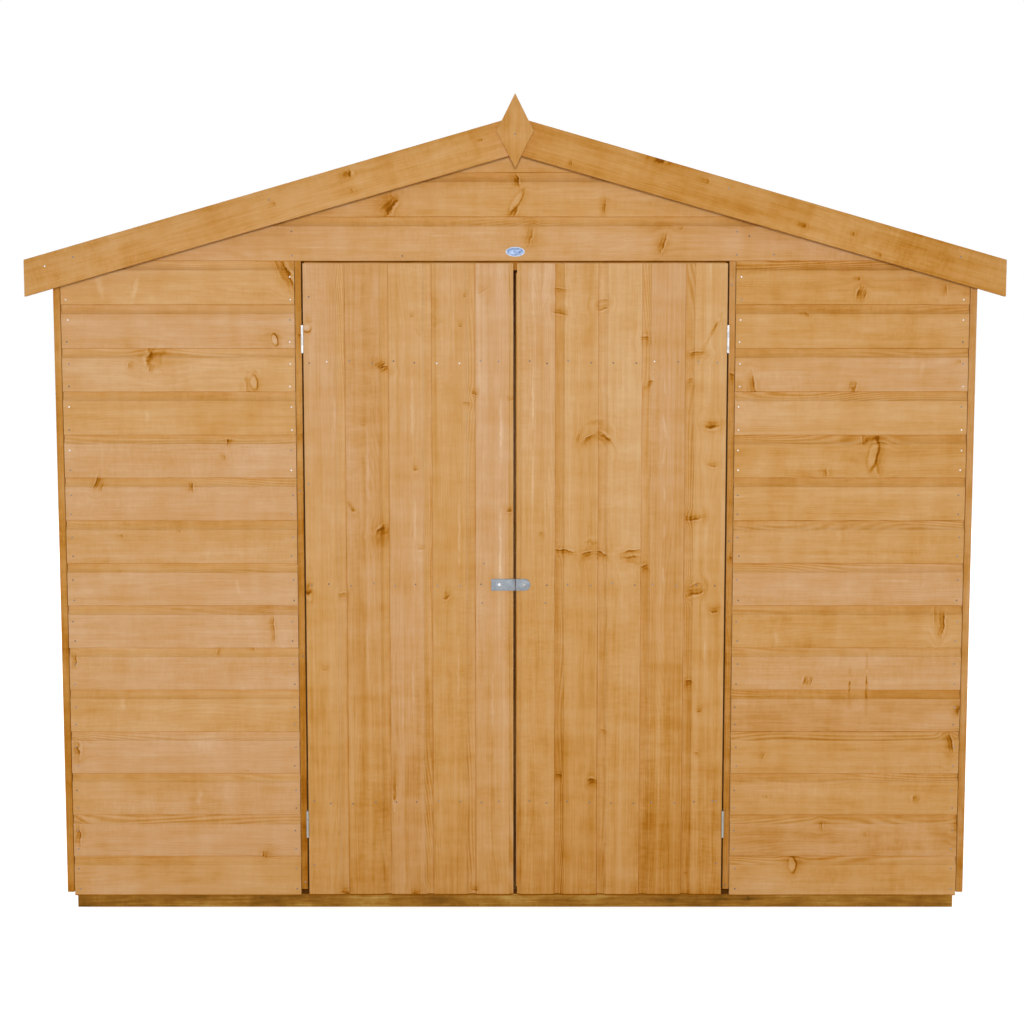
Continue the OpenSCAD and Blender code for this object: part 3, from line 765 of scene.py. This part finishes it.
boardWall("front_gable_boards", "front_gable_cladding", (-sideRight[1].x, backOfFront),
          rightWay, 2 * sideRight[1].x, gableRows, 13, gableKnots, loose=0.5, shade=0.06)
boardWall("back_boards", "back_cladding", (backWall[1].x, backWall[0].y),
          leftWay, backWall[1].x - backWall[0].x, allRows, 14)
boardWall("left_boards", "left_cladding", (sideLeft[1].x, sideLeft[1].y),
          frontWay, sideRun, lowRows, 15, wideRow=-1)
boardWall("right_boards", "right_cladding", (sideRight[0].x, sideRight[0].y),
          backWay, sideRun, lowRows, 16, wideRow=-1)
print("wall boards laid")


# Door boards stand upright, with their coves towards the gap between the doors

doorBoards = {"hingeBoard": 107 * mm, "count": 5, "loose": 0.5, "looseStrength": (0.25, 0.55)}
leftDoorKnots = [
    (-541, 1553, 28, 28, 0, 1.8), (-536, 1574, 24, 30, 0, 0.35), (-352, 1460, 22, 30, 40, 0.7),
    (-340, 1446, 16, 30, 200, 1.0), (-400, 1293, 18, 24, 10, 0.6), (-105, 1384, 12, 20, 0, 0.7),
    (-126, 1356, 10, 26, 170, 0.6), (-260, 1189, 24, 20, 0, 0.6), (-430, 1086, 40, 14, 30, 0.6),
    (-424, 1064, 24, 26, 190, 0.9), (-348, 1021, 30, 54, 220, 0.75), (-356, 1036, 30, 30, 40, 0.25),
    (-247, 980, 20, 26, 0, 0.5), (-16, 1078, 14, 24, 0, 0.8), (-544, 868, 44, 26, 0, 0.9),
    (-453, 853, 18, 28, 180, 0.7), (-182, 853, 24, 28, 10, 0.6), (-321, 338, 110, 12, 0, 0.6),
    (-455, 54, 24, 34, 0, 0.7), (-264, 48, 16, 34, 0, 0.7), (-108, 58, 16, 28, 0, 0.6),
    (-268, 1586, 12, 12, 0, 0.6), (-143, 1560, 14, 12, 0, 0.6), (-200, 1590, 80, 44, 0, 0.16),
    (-250, 1562, 70, 30, 0, 0.16), (-88, 1652, 18, 40, 30, 0.3), (-386, 1180, 160, 14, 0, -0.6),
    (-269, 1330, 150, 12, 0, -0.5), (-147, 1020, 190, 12, 0, -0.7), (-38, 980, 200, 14, 0, -0.8),
    (-36, 1290, 180, 14, 0, -0.7), (-262, 1040, 120, 12, 0, -0.6), (-470, 1330, 130, 12, 0, -0.4),
    (-60, 560, 190, 12, 0, -0.6), (-150, 640, 170, 12, 0, -0.6), (-270, 620, 150, 12, 0, -0.5),
    (-390, 700, 150, 12, 0, -0.4),
]
rightDoorKnots = [
    (166, 1272, 10, 44, 72, 0.5), (194, 1266, 14, 56, 34, 0.85), (231, 1264, 28, 56, -38, 0.9),
    (212, 1296, 50, 60, 0, 0.3), (256, 1246, 10, 40, -64, 0.5), (346, 1405, 44, 14, -35, 0.7),
    (470, 1486, 14, 60, 5, 0.8), (508, 1535, 90, 10, -28, 0.6), (455, 1416, 18, 20, 0, 0.6),
    (516, 1302, 22, 50, 184, 0.9), (482, 1324, 22, 14, 30, 0.5), (514, 1199, 18, 40, 180, 0.6),
    (422, 1267, 16, 22, 0, 0.8), (333, 1267, 14, 22, 0, 0.6), (336, 1240, 20, 12, 0, 0.4),
    (250, 1150, 14, 34, 150, 0.5), (130, 967, 16, 66, -6, 0.85), (192, 962, 16, 50, 12, 0.9),
    (118, 984, 40, 44, 0, 0.3), (204, 984, 40, 60, 0, 0.35), (228, 960, 16, 46, -18, 0.85),
    (304, 966, 16, 72, 8, 0.9), (306, 948, 30, 66, 0, 0.75), (300, 984, 40, 60, 0, 0.3),
    (368, 1065, 18, 18, 0, 0.7), (340, 926, 20, 24, 20, 0.8), (407, 909, 18, 18, 0, 0.7),
    (469, 1058, 16, 60, 186, 0.7), (478, 878, 16, 46, 20, 0.5), (474, 862, 22, 50, 200, 0.9),
    (524, 813, 20, 34, 180, 0.6), (204, 354, 24, 28, 0, 0.9), (116, 367, 14, 24, 0, 0.6),
    (488, 725, 16, 20, 0, 0.6), (480, 696, 16, 20, 180, 0.6), (460, 618, 18, 22, 0, 0.7),
    (492, 602, 14, 16, 0, 0.6), (487, 546, 16, 20, 180, 0.6), (483, 427, 14, 18, 0, 0.5),
    (116, 1651, 16, 50, -5, 0.5), (116, 1594, 16, 50, 175, 0.6), (227, 1622, 14, 40, 10, 0.6),
    (227, 1606, 18, 40, 190, 0.8), (337, 1526, 18, 34, 0, 0.7), (46, 1380, 200, 10, 0, -0.8),
    (46, 1640, 120, 9, 0, -0.6), (46, 1150, 150, 10, 0, -0.6), (390, 1300, 60, 14, 8, -0.6),
    (390, 1225, 50, 14, -8, -0.5), (392, 1120, 60, 12, 6, -0.6), (390, 1020, 50, 14, -6, -0.6),
    (390, 900, 60, 14, 8, -0.6), (390, 1400, 50, 12, 4, -0.5), (390, 1480, 50, 12, -4, -0.5),
    (500, 700, 90, 12, 0, -0.5),
]


def boardDoor(side, knots, seed):
    low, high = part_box(side + "_door_boards")
    rng = random.Random(seed)
    whole = newTimber()
    turn = 1 if side == "left" else -1
    hingeX = low.x if side == "left" else high.x
    foot = high.z if side == "left" else low.z
    edges = [((low.x, 0, 0), leftWay), ((high.x, 0, 0), rightWay)]
    length = high.z - low.z
    for row in range(doorBoards["count"]):
        across = doorBoards["hingeBoard"] + (row - 1) * shiplap["cover"]
        toWorld = facing(Vector((hingeX + turn * across, high.y, foot)), (0, 0, -turn), (turn, 0, 0))
        own = onBoard([markOn(toWorld, m, low.y) for m in knots], length, shiplap["cover"])
        own += looseMarks(rng, length, shiplap["cover"], doorBoards["loose"], doorBoards["looseStrength"])
        layBoard(whole, toWorld, length, rng, own, 0.0, edges)
    body = side + "_door"
    return finishPiece(whole, body + "_planks", doorWood[side], body, [body + "_boards"])


boardDoor("left", leftDoorKnots, 21)
boardDoor("right", rightDoorKnots, 22)
print("door boards laid")


# Squared timbers: a copy of each node, with eased edges and the grain along every stick

timberKinds = {                                         # finish, slot and eased edge
    "bearer": (bearerWood, "bearer_wood", 1.5 * mm), "frame": (frameWood, "frame_wood", 1.0 * mm),
    "rail": (railWood, "frame_wood", 1.0 * mm), "stile": (stileWood, "frame_wood", 1.0 * mm),
    "jamb": (stripWood, "trim_wood", 0.8 * mm), "strip": (stripWood, "trim_wood", 1.2 * mm),
    "barge": (bargeWood, "trim_wood", 1.2 * mm),
}
timbers = {
    "floor_bearers": "bearer", "front_posts": "rail", "front_rails": "rail", "front_rafters": "frame",
    "jamb_strips": "jamb", "left_studs": "frame", "left_rails": "frame", "right_studs": "frame",
    "right_rails": "frame", "back_studs": "frame", "back_rail": "frame", "back_rafters": "frame",
    "corner_strips": "strip", "purlins": "frame", "front_left_barge": "barge", "front_right_barge": "barge",
    "back_left_barge": "barge", "back_right_barge": "barge", "front_finial": "barge", "back_finial": "barge",
    "left_door_stiles": "stile", "left_door_ledges": "frame", "left_door_braces": "frame",
    "right_door_stiles": "stile", "right_door_ledges": "frame", "right_door_braces": "frame",
}
timberShade = {"front_right_barge": 0.14, "front_finial": 0.08}     # deeper than the rest
rightShade = {"corner_strips": -0.09, "jamb_strips": -0.08}         # paler on the right of the doors
sticks = {"merge": 0.05 * mm, "stretch": 0.3, "loose": 1.2, "looseStrength": (0.2, 0.6)}
bargeKnots = [
    (-425, 1943, 30, 26, 0, 0.95), (-616, 1868, 14, 12, 0, 0.5), (-89, 2028, 14, 10, 0, 0.6),
    (366, 1978, 40, 14, 0, 0.9), (483, 1926, 24, 16, 0, 0.4), (732, 1815, 24, 16, 0, 0.4),
    (924, 1741, 34, 14, 0, 0.4),
]


def middleOf(verts):
    return sum((vert.co for vert in verts), Vector()) / len(verts)


def islands(bm):
    seen, found = set(), []
    for first in bm.verts:
        if first in seen:
            continue
        seen.add(first)
        grown, rim = [], [first]
        while rim:
            vert = rim.pop()
            grown.append(vert)
            for edge in vert.link_edges:
                other = edge.other_vert(vert)
                if other not in seen:
                    seen.add(other)
                    rim.append(other)
        found.append(grown)
    return sorted(found, key=lambda verts: middleOf(verts).to_tuple(3))


# Of equal edges or faces the same one is taken on every run

def stickFrame(verts, upright):
    edges = [edge for vert in verts for edge in vert.link_edges]
    longest = max(edges, key=lambda edge: round(edge.calc_length(), 5))
    along = (longest.verts[1].co - longest.verts[0].co).normalized()
    if along.dot((0.9, 1.0, 1.1)) < 0:
        along = -along
    if upright:
        along = Vector((0, 0, 1))
    sides = [face for face in facesOf(verts) if abs(face.normal.dot(along)) < 0.2]
    wide = max(sides, key=lambda face: (round(face.calc_area(), 5), -face.normal.dot((0.9, 1.1, 1.0))))
    across = wide.normal.cross(along).normalized()
    toWorld = facing(Vector(), along, across)
    ends = [toWorld.inverted() @ vert.co for vert in verts]
    corner = Vector([min(end[axis] for end in ends) for axis in range(3)])
    size = [max(end[axis] for end in ends) - corner[axis] for axis in range(3)]
    return Matrix.Translation(toWorld @ corner) @ toWorld, size


def squaredTimber(node, kind, seed):
    material, slot, arris = timberKinds[kind]
    rng = random.Random(seed)
    source = flatCopy(node, sticks["merge"])
    knots = bargeKnots if node in ("front_left_barge", "front_right_barge") else []
    whole = newTimber()
    for verts in islands(source):
        toWorld, size = stickFrame(verts, "finial" in node)
        stick = newTimber()
        copies = {vert: stick.verts.new(vert.co) for vert in verts}
        for face in facesOf(verts):
            stick.faces.new([copies[vert] for vert in face.verts])
        easeEdges(stick, stick.edges[:], arris)
        parts = max(1, round(size[0] / sticks["stretch"]))
        for cut in range(1, parts):
            point = toWorld @ Vector((size[0] * cut / parts, 0, 0))
            bmesh.ops.bisect_plane(stick, geom=everything(stick), plane_co=point, plane_no=toWorld.col[0].xyz)
        own = onBoard([markOn(toWorld, m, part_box(node)[0].y) for m in knots], size[0], size[1])
        own += looseMarks(rng, size[0], size[1], sticks["loose"], sticks["looseStrength"])
        shade = timberShade.get(node, 0.0)
        if toWorld.translation.x > 0:
            shade += rightShade.get(node, 0.0)
        dressTimber(stick, toWorld, rng, own, shade)
        addTo(whole, stick)
    source.free()
    body = node.split("_door")[0] + "_door" if "_door_" in node else "shed"
    return finishPiece(whole, node + "_timber", material, body, [node])


for number, (node, kind) in enumerate(timbers.items()):
    squaredTimber(node, kind, 100 + number)
print("squared timbers cut")


# Floor and roof planks

planks = {"width": 112 * mm, "gap": 0.06 * mm, "arris": 1.2 * mm, "stretch": 0.4, "loose": 1.8,
          "roofThick": 12 * mm}


def plankRow(name, node, toWorld, size, material, seed):
    rng = random.Random(seed)
    whole = newTimber()
    count = round(size[1] / planks["width"])
    step = size[1] / count
    for number in range(count):
        bm = newTimber()
        bmesh.ops.create_cube(bm, size=1, matrix=Matrix.Translation((0.5, 0.5, 0.5)))
        bmesh.ops.scale(bm, vec=(size[0], step - planks["gap"], size[2]), verts=bm.verts[:])
        easeEdges(bm, bm.edges[:], planks["arris"], 1)
        stretchOut(bm, size[0], planks["stretch"])
        place = toWorld @ Matrix.Translation((0, number * step, 0))
        bm.transform(place)
        marks = looseMarks(rng, size[0], step, planks["loose"])
        dressTimber(bm, place, rng, marks)
        addTo(whole, bm)
    return finishPiece(whole, name, material, "shed", [node])


floorLow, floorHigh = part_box("floor_boards")
floorSize = floorHigh - floorLow
floorFrame = facing(Vector((floorHigh.x, floorLow.y, floorLow.z)), backWay, leftWay)
plankRow("floor_planks", "floor_boards", floorFrame, (floorSize.y, floorSize.x, floorSize.z), floorWood,
         31)
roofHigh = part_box("right_roof_boards")[1]
roofSize = (roofHigh.x / roofCos, 2 * roofHigh.y, planks["roofThick"])
for side, turn in (("left", -1), ("right", 1)):
    down, across = Vector((turn * roofCos, 0, -roofSin)), Vector((0, turn, 0))
    top = Vector((0, -turn * roofHigh.y, roofHigh.z)) - down.cross(across) * planks["roofThick"]
    plankRow(side + "_roof_planks", side + "_roof_boards", facing(top, down, across), roofSize, boardWood,
             32 + turn)
print("floor and roof planks laid")


# Roofing felt: three lapped courses on each slope, a turned-down edge and a ridge strip

felt = {
    "courses": 3, "lap": 75 * mm, "thick": 1.8 * mm, "lift": 1.6 * mm, "waver": 0.7 * mm,
    "ridgeWidth": 160 * mm, "eaveRise": 2.2 * mm, "ridgeRise": 2.4 * mm, "topGap": 4 * mm,
    "hemDrop": 24 * mm, "hemThick": 2 * mm, "hemOut": 1.5 * mm, "hemUp": 1 * mm,
    "nailStep": 150 * mm, "nailInset": 20 * mm, "nailLift": 0.4 * mm, "ridgeNailLift": 2.6 * mm,
    "segments": (30, 6), "sharp": 40,
}


def feltSheet(bm, toWorld, length, width, lift, seed):
    sheet = bmesh.new()
    bmesh.ops.create_grid(sheet, x_segments=felt["segments"][0], y_segments=felt["segments"][1], size=0.5)
    bmesh.ops.translate(sheet, verts=sheet.verts[:], vec=(0.5, 0.5, 0))
    for vert in sheet.verts:
        ripple = felt["waver"] * (0.5 + waver((vert.co.x * 9, vert.co.y * 3, seed)))
        vert.co = (vert.co.x * length, vert.co.y * width, lift * (1 - vert.co.y) + ripple)
    bmesh.ops.solidify(sheet, geom=sheet.faces[:], thickness=felt["thick"])
    bmesh.ops.recalc_face_normals(sheet, faces=sheet.faces[:])
    sheet.transform(toWorld)
    addTo(bm, sheet)


def nailRow(start, along, length, out):
    steps = range(1, int(length / felt["nailStep"]))
    return [(start + along * step * felt["nailStep"], out) for step in steps]


feltLow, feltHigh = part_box("right_felt")
feltLength = 2 * feltHigh.y
courseWidth = (feltHigh.x / roofCos + (felt["courses"] - 1) * felt["lap"]) / felt["courses"]
feltNails = []
ridge, ridgeNails = bmesh.new(), []
for side, turn in (("left", -1), ("right", 1)):
    bm = bmesh.new()
    up, along = Vector((-turn * roofCos, 0, roofSin)), Vector((0, turn, 0))
    out = along.cross(up)
    eave = Vector((turn * feltHigh.x, -turn * feltHigh.y, feltLow.z + felt["eaveRise"]))
    for number in range(felt["courses"]):
        start = eave + up * number * (courseWidth - felt["lap"])
        lift = felt["lift"] if number else 0.0
        feltSheet(bm, facing(start, along, up), feltLength, courseWidth - felt["topGap"], lift, 3.0 * number)
        nailed = start + up * felt["nailInset"] + out * (felt["lift"] + felt["thick"] + felt["nailLift"])
        feltNails += nailRow(nailed, along, feltLength, out)
    hem = bmesh.ops.create_cube(bm, size=1)["verts"]
    hemPlace = eave - up * felt["hemOut"] + along * feltLength / 2
    hemPlace.z += felt["hemUp"] - felt["hemDrop"] / 2
    bmesh.ops.scale(bm, vec=(felt["hemThick"], feltLength, felt["hemDrop"]), verts=hem)
    bmesh.ops.translate(bm, verts=hem, vec=hemPlace)
    finishPiece(bm, side + "_felt_courses", mineralFelt, "shed", [side + "_felt"],
                felt["sharp"])
    peak = Vector((0, -turn * feltHigh.y, feltHigh.z + felt["ridgeRise"]))
    lower = peak - up * felt["ridgeWidth"]
    feltSheet(ridge, facing(lower, along, up), feltLength, felt["ridgeWidth"], 0.0, 40.0)
    nailed = lower + up * felt["nailInset"] + out * felt["ridgeNailLift"]
    ridgeNails += nailRow(nailed, along, feltLength, out)
finishPiece(ridge, "ridge_felt", mineralFelt, "shed", (), felt["sharp"])
feltNails += ridgeNails
print("felt laid")


# Nail heads

nails = {
    "radius": 2.4 * mm, "clout": 5 * mm, "proud": 0.45, "segments": (8, 4), "sharp": 60, "batch": 30,
    "dull": (0.0, 0.25), "bright": (0.75, 1.0), "heights": (17 * mm, 70 * mm), "endInset": 16 * mm,
    "doorInset": 14 * mm, "upDown": 4 * mm, "sideways": 3 * mm, "onStud": 8 * mm,
}


def domedHead(bm, place, radius, proud, segments):
    dome = bmesh.ops.create_uvsphere(bm, u_segments=segments[0], v_segments=segments[1], radius=radius,
                                     matrix=place @ Matrix.Diagonal((1, 1, proud, 1)))
    return facesOf(dome["verts"])


def nailHeads(name, spots, body, seed, radius, brightOver=0.0, brightShare=0.15, brightUnder=9.0):
    rng = random.Random(seed)
    whole = bmesh.new()
    whole.faces.layers.float_vector.new("paintedGlint")
    for first in range(0, len(spots), nails["batch"]):
        bm = bmesh.new()
        paintedGlint = bm.faces.layers.float_vector.new("paintedGlint")
        for place, out in spots[first:first + nails["batch"]]:
            turned = Vector(out).to_track_quat("Z", "Y").to_matrix().to_4x4()
            driven = Matrix.Translation(place) @ turned
            # painted glint: a share of the heads within a band of heights is turned near white
            shiny = brightOver < place.z < brightUnder and rng.random() < brightShare
            bright = rng.uniform(*nails["bright" if shiny else "dull"])
            for face in domedHead(bm, driven, radius, nails["proud"], nails["segments"]):
                face[paintedGlint] = (bright, 0, 0)
        addTo(whole, bm)
    return finishPiece(whole, name, nailHead, body, (), nails["sharp"])


def stickMiddles(node):
    bm = nodeCopy(node, sticks["merge"])
    middles = [middleOf(verts) for verts in islands(bm)]
    bm.free()
    return middles


jitter = random.Random(5)


def astray(label):
    return jitter.uniform(-1, 1) * nails[label]


def onFront(face, spots):
    return [(Vector((x * mm, face, z * mm)), frontWay) for x, z in spots]


columns = [frontLeft[0].x + nails["endInset"], frontLeft[1].x - nails["doorInset"],
           frontRight[0].x + nails["doorInset"], frontRight[1].x - nails["endInset"]]
nailRows = [max(rowFoot(row), wallFoot) + rise for row in lowRows for rise in nails["heights"]]
frontNails = []
for height in nailRows:
    z = height + astray("upDown")
    frontNails += [(Vector((x + astray("sideways"), wallFace, z)), frontWay) for x in columns]
gableNails = ((-578, 1801), (-577, 1739), (-292, 1738), (572, 1800), (573, 1741), (605, 1789), (669, 1742))
trimNails = {"jamb_strips": ((-564, 1128), (-561, 689), (-561, 76), (561, 994), (561, 68), (561, 1664)),
             "front_left_barge": ((-1203, 1711), (-1130, 1734), (-627, 1878)),
             "front_right_barge": ((544, 1907), (1139, 1734)),
             "front_finial": ((0, 2042),)}
frontNails += onFront(wallFace, gableNails)
for node, spots in trimNails.items():
    frontNails += onFront(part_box(node)[0].y, spots)
nailHeads("front_nails", frontNails, "shed", 41, nails["radius"], 1.15, 0.65, gableLow.z)
studs = {node: stickMiddles(node) for node in ("left_studs", "right_studs", "back_studs")}
hiddenNails = []
for height in nailRows:
    for node, x, out in (("left_studs", sideLeft[0].x, leftWay), ("right_studs", sideRight[1].x, rightWay)):
        for middle in studs[node]:
            y = middle.y + astray("onStud")
            hiddenNails.append((Vector((x, y, height + astray("upDown"))), out))
    for middle in studs["back_studs"]:
        x = middle.x + astray("onStud")
        hiddenNails.append((Vector((x, backWall[1].y, height + astray("upDown"))), backWay))
nailHeads("wall_nails", hiddenNails, "shed", 42, nails["radius"], 1.15, 0.5)
nailHeads("felt_nails", feltNails, "shed", 43, nails["clout"])
doorNails = {
    "left": {"columns": (-535, -490, -431, -371, -316, -262, -204, -145, -90, -43), "brightShare": 0.5,
             "stray": ((-535, 1633), (-540, 1146), (-536, 125), (-82, 937), (-87, 832))},
    "right": {"columns": (38, 83, 138, 198, 255, 315, 362, 424, 476, 525), "brightShare": 0.1,
              "stray": ((80, 832), (536, 129), (534, 299))},
}
ledgeHeights = sorted(middle.z for middle in stickMiddles("left_door_ledges"))
for side, spec in doorNails.items():
    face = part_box(side + "_door_boards")[0].y
    spots = []
    for x in spec["columns"]:
        spots += [(Vector((x * mm, face, z + astray("upDown"))), frontWay) for z in ledgeHeights]
    spots += onFront(face, spec["stray"])
    nailHeads(side + "_door_nails", spots, side + "_door", 44, nails["radius"], 1.2, spec["brightShare"])
print("nails driven")


# Latch plates, hinges and the oval plate

latch = {"merge": 0.02 * mm, "arris": 0.8 * mm, "screw": 4 * mm, "screwProud": 0.35,
         "screwSegments": (16, 8),
         "screws": {"left": (-42, 881, 0.85), "right": (24, 880, 0.4)}}     # x, z and brightness; the bright left one is a painted glint
quarterTurn = Matrix.Rotation(math.radians(90), 4, "X")


def latchPlate(side):
    node = side + "_latch_plate"
    bm = flatCopy(node, latch["merge"])
    rim = [e for e in bm.edges if len(e.link_faces) == 2 and e.calc_face_angle() > 0.6]
    easeEdges(bm, rim, latch["arris"])
    paintedGlint = bm.faces.layers.float_vector.new("paintedGlint")
    x, z, bright = latch["screws"][side]
    place = Matrix.Translation((x * mm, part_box(node)[0].y, z * mm)) @ quarterTurn
    for face in domedHead(bm, place, latch["screw"], latch["screwProud"], latch["screwSegments"]):
        face.material_index = 1
        face[paintedGlint] = (bright, 0, 0)
    piece = finishPiece(bm, side + "_latch", zinc, side + "_door", [node])
    piece.data.materials.append(nailHead)


oval = {"rim": 2.2 * mm, "dish": 0.6 * mm, "segments": 48, "arris": 0.5 * mm}


def ovalPlate():
    low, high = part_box("name_plate")
    size, centre = high - low, (low + high) / 2
    bm = bmesh.new()
    place = Matrix.Translation((centre.x, high.y, centre.z)) @ quarterTurn
    bmesh.ops.create_circle(bm, cap_ends=True, segments=oval["segments"], radius=0.5,
                            matrix=place @ Matrix.Diagonal((size.x, size.z, 1, 1)))
    grown = bmesh.ops.extrude_face_region(bm, geom=bm.faces[:])
    bmesh.ops.translate(bm, verts=only(grown["geom"], bmesh.types.BMVert), vec=(0, -size.y, 0))
    front = only(grown["geom"], bmesh.types.BMFace)
    bmesh.ops.inset_region(bm, faces=front, thickness=oval["rim"], depth=0)
    bmesh.ops.inset_region(bm, faces=front, thickness=oval["arris"], depth=-oval["dish"])
    for face in bm.faces:
        face.material_index = 0 if face in front else 1
    piece = finishPiece(bm, "oval_plate", plateMetal, "shed", ["name_plate"])
    piece.data.materials.append(rimMetal)


latchPlate("left")
latchPlate("right")
for node in ("left_door_hinges", "right_door_hinges", "post_hinge_leaves"):
    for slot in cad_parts[node].material_slots:
        slot.material = brightZinc
ovalPlate()
print("latch, hinges and oval plate finished")


# Floor, light and camera

studio = {"floorSize": 60.0, "floorColour": tint(226, 226, 224), "floorRough": 0.95, "floorGlow": 0.78,
          "sky": 0.36}
white = (1, 1, 1, 1)


def buildFloor():
    bm = bmesh.new()
    bmesh.ops.create_grid(bm, x_segments=1, y_segments=1, size=studio["floorSize"] / 2)
    mesh = bpy.data.meshes.new("studio_floor")
    bm.to_mesh(mesh)
    bm.free()
    ground = bpy.data.objects.new("studio_floor", mesh)
    scene.collection.objects.link(ground)
    material, tree, skin = newMaterial("paleFloor")
    skin["Base Color"].default_value = studio["floorColour"]
    skin["Roughness"].default_value = studio["floorRough"]
    skin["Specular IOR Level"].default_value = 0.0
    seen = put(tree, "LightPath").outputs
    shown = calc(tree, "MAXIMUM", seen["Is Camera Ray"], seen["Is Glossy Ray"])
    skin["Emission Color"].default_value = white
    feed(tree, skin["Emission Strength"], times(tree, shown, studio["floorGlow"]))
    mesh.materials.append(material)


def buildSky():
    world = bpy.data.worlds.new("studioSky")
    world.use_nodes = True
    scene.world = world
    tree = world.node_tree
    seen = put(tree, "LightPath").outputs
    mirrored = calc(tree, "MAXIMUM", seen["Is Glossy Ray"], seen["Is Transmission Ray"])
    direct = calc(tree, "MAXIMUM", seen["Is Camera Ray"], mirrored)
    back = tree.nodes["Background"].inputs
    back["Color"].default_value = white
    feed(tree, back["Strength"], remap(tree, direct, 0.0, 1.0, studio["sky"], 1.0, "LINEAR"))


lamps = {
    "key": {"at": (0.0, -11.0, 2.0), "aim": (0, -1.5, 1.1), "size": 1.0, "power": 490},
    "back": {"at": (0.0, 8.6, 2.6), "aim": (0, 1.5, 1.1), "size": 4.0, "power": 280},
    "left": {"at": (-7.4, 1.0, 4.2), "aim": (-1.2, 0, 1.2), "size": 3.5, "power": 230},
    "right": {"at": (7.4, 1.0, 4.2), "aim": (1.2, 0, 1.2), "size": 3.5, "power": 230},
    "inside": {"at": (0.0, 0.3, 1.5), "aim": (0, 0.7, 0.0), "size": 0.6, "power": 3.5},
}


def buildLamps():
    for name, spec in lamps.items():
        data = bpy.data.lights.new(name, "AREA")
        data.shape = "DISK"
        data.size = spec["size"]
        data.energy = spec["power"]
        lamp = bpy.data.objects.new(name, data)
        lamp.location = spec["at"]
        lamp.rotation_euler = (Vector(spec["aim"]) - lamp.location).to_track_quat("-Z", "Y").to_euler()
        scene.collection.objects.link(lamp)


view = {"at": (0.0, -6.495, 1.597), "tipDown": 5.99, "lens": 67.4, "sensor": 36.0, "shift": -0.0031}


def buildCamera():
    data = bpy.data.cameras.new("viewer")
    data.sensor_width = view["sensor"]
    data.lens = view["lens"]
    data.shift_x = view["shift"]
    camera = bpy.data.objects.new("viewer", data)
    camera.location = view["at"]
    camera.rotation_euler = (math.radians(90 - view["tipDown"]), 0, 0)
    scene.collection.objects.link(camera)
    scene.camera = camera


buildFloor()
buildSky()
buildLamps()
buildCamera()
scene.view_settings.view_transform = "Standard"
print("studio ready")
